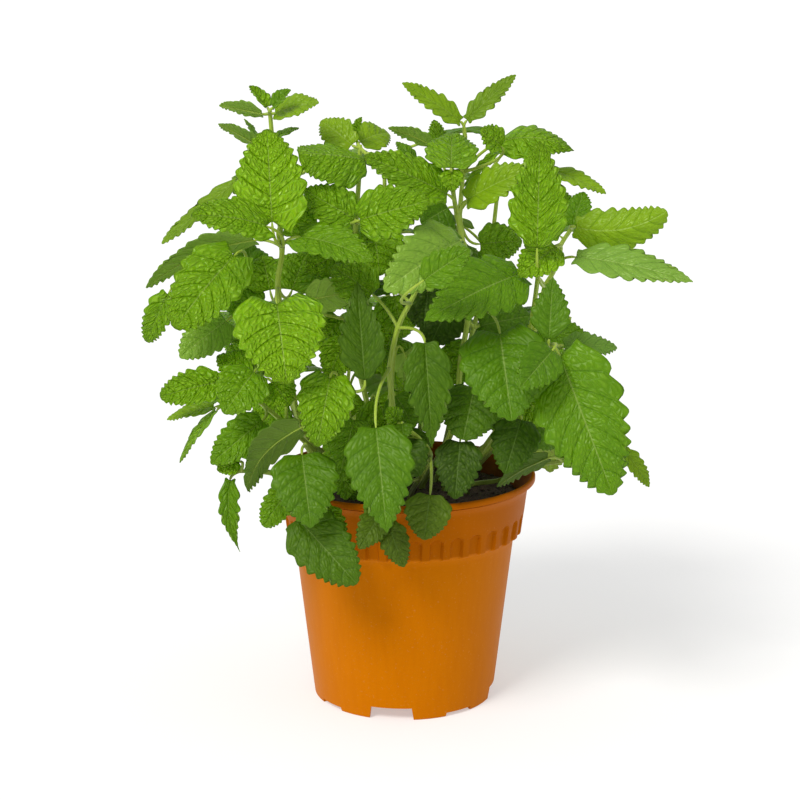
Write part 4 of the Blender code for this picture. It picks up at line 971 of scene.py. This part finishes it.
def shaped_blade(pose, flat, pairs, draw):
    """The points of a leaf's crinkled and toothed surface from those of a flat grid, -1 to 1 both ways.

    The grid's rows bend forward from the midrib to the edge as the side veins do, and the blade rises between
    them. Here u is across the leaf and s up the rows, v is where a row starts on the midrib, and t is how far
    along the leaf a point is."""
    u = flat[:, 0]
    s = (flat[:, 1] + 1) / 2
    out = np.abs(u)
    v = s - 0.3 * s * (1 - s)
    t = v + VEIN_SLANT * out ** 1.08 * (1 - v) * (1 - np.exp(-4 * v))
    base, control, tip, up = (np.array(pose[key]) for key in ("base", "control", "tip", "upper"))
    column = t[:, None]
    point = base * (1 - column) ** 2 + control * (2 * column * (1 - column)) + tip * column ** 2
    along = unit((control - base) * (1 - column) + (tip - control) * column)
    upper = unit(up - along * (along @ up)[:, None])
    right = np.cross(along, upper)

    length, width = pose["length"], pose["width"]
    half = width / 2 * blade_outline(t, pose["taper"], pose["lobe"])
    teeth = round(1.5 * pairs)
    pitch = 1.1 * length / teeth
    place = s * teeth + 0.6
    hump = np.sin(pi * (place % 1.0) ** 1.7).clip(0, 1) ** 0.7
    uneven = np.array([draw.uniform(0.7, 1.3) for _ in range(2 * teeth + 2)])
    uneven = uneven[(np.floor(place) + (u > 0) * (teeth + 1)).astype(int)]
    bite = TOOTH_DEPTH * pitch * uneven * (hump - 0.6) * out ** 5 * np.minimum(1.0, half / (1.1 * pitch))
    side = np.maximum(half * out + bite, (0.12 + 0.38 * (1 - t)) * out)
    lobe = -pose["lobe"] * draw.uniform(0.8, 1.2) * length * out ** 1.5 * (1 - t) ** 3.5
    lobe *= np.minimum(1.0, t * 16)

    phase = draw.uniform(0, 6.28)
    inner = np.minimum(1.0, half / (0.25 * width))
    ridge = np.abs(np.sin(pi * s * pairs)) ** 0.65
    cells = np.abs(np.sin(pi * (out * 3.2 + 0.45 * np.sin(s * pairs * 3.7 + phase)
                                     + 0.3 * np.sin(s * 17 + 2 * phase)))) ** 0.5
    quilt = (0.15 + 0.021 * width) * ridge * (0.62 + 0.38 * cells)
    quilt *= np.minimum(1.0, out * 5)
    quilt *= 1 - 0.55 * out ** 5
    furrow = -FURROW_DEPTH * np.exp(-(out / 0.07) ** 2)
    wave = EDGE_WAVE * width * np.sin(6.28 * (1.9 * t + np.sign(u) * 0.13) + phase) * out ** 2
    curl = -EDGE_CURL * width * out ** 3
    height = (quilt + furrow + wave + curl) * inner + 0.22 + half * out * sin(pose["fold"])
    across = side * cos(pose["fold"]) * np.sign(u)
    return point + right * across[:, None] + upper * height[:, None] + along * lobe[:, None]


def leaf_blades(name, poses, draw):
    """All the blades of one stem as one piece, with two UV maps and the tone of each leaf."""
    bm = bmesh.new()
    places, sheets, runs, tones = [], [], [], []
    for pose in poses:
        pairs = vein_pairs(pose["length"])
        grid = bmesh.ops.create_grid(bm, x_segments=4 * pairs, y_segments=10 * pairs, size=1.0)
        flat = np.array([vert.co for vert in grid["verts"]])
        places.append(shaped_blade(pose, flat, pairs, draw))
        sheets.append(np.stack((flat[:, 0] / 2 + 0.5, (flat[:, 1] + 1) / 2 * pairs), axis=1))
        own = draw.uniform(0, 90)
        cell = 4.4 + 0.04 * pose["width"]
        size = (pose["width"] / cell, 1.2 * pose["length"] / cell)
        runs.append(np.stack((own + flat[:, 0] * size[0], flat[:, 1] * size[1]), axis=1))
        light, olive, grey = LOOKS[pose["look"]]
        light = min(1.0, max(0.0, light + draw.uniform(-0.07, 0.07)))
        tones.append(np.tile((light, olive, grey, 1.0), (len(flat), 1)))
    mesh = mesh_of(bm, name)
    mesh.vertices.foreach_set("co", (np.concatenate(places) * MM).astype(np.float32).ravel())
    corners = np.empty(len(mesh.loops), dtype=np.int32)
    mesh.loops.foreach_get("vertex_index", corners)
    for layer, spots in (("blade", sheets), ("wrinkles", runs)):
        spots = np.concatenate(spots)[corners].astype(np.float32).ravel()
        mesh.uv_layers.new(name=layer).uv.foreach_set("vector", spots)
    tone = mesh.attributes.new("leaf_tone", "FLOAT_COLOR", "POINT")
    tone.data.foreach_set("color", np.concatenate(tones).astype(np.float32).ravel())
    mesh.update()
    blades = piece_from(mesh, name, [upper_green, under_green])
    wall = blades.modifiers.new("thickness", "SOLIDIFY")
    wall.thickness = BLADE_THICKNESS * MM
    wall.offset = -1
    wall.material_offset = 1
    wall.material_offset_rim = 0
    return blades


def rods(name, lines, section=None):
    """A mesh of rods along lines of (points, radii), round or of a given section."""
    curve = bpy.data.curves.new(name, "CURVE")
    curve.dimensions = "3D"
    curve.use_fill_caps = True
    curve.twist_mode = "MINIMUM"
    if section:
        curve.bevel_mode = "OBJECT"
        curve.bevel_object = section
    else:
        curve.bevel_depth = 1.0
        curve.bevel_resolution = 2
    for points, radii in lines:
        line = curve.splines.new("POLY")
        line.points.add(len(points) - 1)
        for spot, point, radius in zip(line.points, points, radii):
            spot.co = (*(point * MM), 1)
            spot.radius = radius * MM
    holder = new_object(name, curve)
    mesh = settled_mesh(holder)
    bpy.data.objects.remove(holder)
    return mesh


def square_section():
    """A square with rounded corners and hollow sides, as a mint's stem has."""
    curve = bpy.data.curves.new("stem_section", "CURVE")
    curve.dimensions = "2D"
    line = curve.splines.new("POLY")
    line.points.add(23)
    line.use_cyclic_u = True
    for number, spot in enumerate(line.points):
        turn = 2 * pi * number / len(line.points)
        reach = 0.86 + 0.14 * cos(4 * turn)
        spot.co = (*polar(reach, turn, 0), 1)
    return new_object("stem_section", curve)


def stem_path(knots, bearing):
    """The stem's line and its radii, a little thicker where leaves grow from it."""
    count = len(knots) - 2
    points, radii = [knots[0]], [STEM_RADIUS]
    for step in range(count * 10 + 1):
        node = step / 10
        share = (node + 1) / (count + 1)
        near = min(abs(node - place) for place in bearing)
        swelling = 1 + 0.16 * exp(-(near / 0.08) ** 2)
        points.append(node_point(knots, node))
        radii.append((STEM_RADIUS + (STEM_TIP_RADIUS - STEM_RADIUS) * share) * swelling)
    points.append(points[-1] + (points[-1] - points[-2]).normalized() * 1.6)
    return points, radii + [0.9]


def stalk_path(pose):
    """A leaf's stalk from the stem to the blade, which goes on under the blade as its midrib."""
    _, along, _, _ = spine(pose, 0.0)
    root, base = pose["root"], pose["base"]
    bend = base - along * ((base - root).length * 0.45)
    steps = 9
    points, radii = [], []
    for step in range(steps):
        t = step / steps
        points.append(root * (1 - t) ** 2 + bend * (2 * t * (1 - t)) + base * t ** 2)
        radii.append(STALK_RADIUS - 0.24 * t if step else 1.0)
    for step in range(12):
        t = 0.92 * step / 11
        point, _, _, upper = spine(pose, t)
        radius = (MIDRIB_RADIUS - 0.28 * t) * min(1.0, pose["width"] / 22 + 0.25)
        sunk = min(1.0, step / 2)
        points.append(point - upper * ((0.55 + 0.4 * sunk) * radius - 0.05 + 0.22 * sunk))
        radii.append(radius)
    return points, radii


def stalks_of(name, knots, poses, section, bearing):
    """A stem and the stalks of its leaves as one piece."""
    bm = bmesh.new()
    bm.from_mesh(rods("stem", [stem_path(knots, bearing)], section))
    bm.from_mesh(rods("stalks", [stalk_path(pose) for pose in poses]))
    bmesh.ops.remove_doubles(bm, verts=bm.verts, dist=1e-6)
    bmesh.ops.recalc_face_normals(bm, faces=bm.faces)
    return piece_of(bm, name, [stalk_green])


def grow_plant():
    """Every stem with its stalks and leaves, each in its node's stead."""
    section = square_section()
    placing, shaping = random.Random(SEED), random.Random(SEED + 1)
    for name, stem in {**STEMS, **BACK_STEMS}.items():
        if name in STEMS:
            knots = stem_knots(stem["root"], [seen_at(*point) for point in stem["through"]])
            poses = front_leaves(name, knots)
            bearing = {row["node"] for row in stem["leaves"]}
        else:
            knots = stem_knots(stem["root"], [Vector(point) for point in stem["through"]])
            poses = rear_leaves(name, knots, placing)
            bearing = {row[0] for row in back_rows(stem)}
        dressed(leaf_blades(name + "_leaves", poses, shaping), name)
        dressed(stalks_of(name + "_stalks", knots, poses, section, bearing), name)
    bpy.data.objects.remove(section)


set_camera()
set_studio()
upper_green, under_green, stalk_green = leaf_upper(), leaf_under(), green_stalk()
mould_pot()
lay_soil([stem["root"] for stem in {**STEMS, **BACK_STEMS}.values()])
grow_plant()
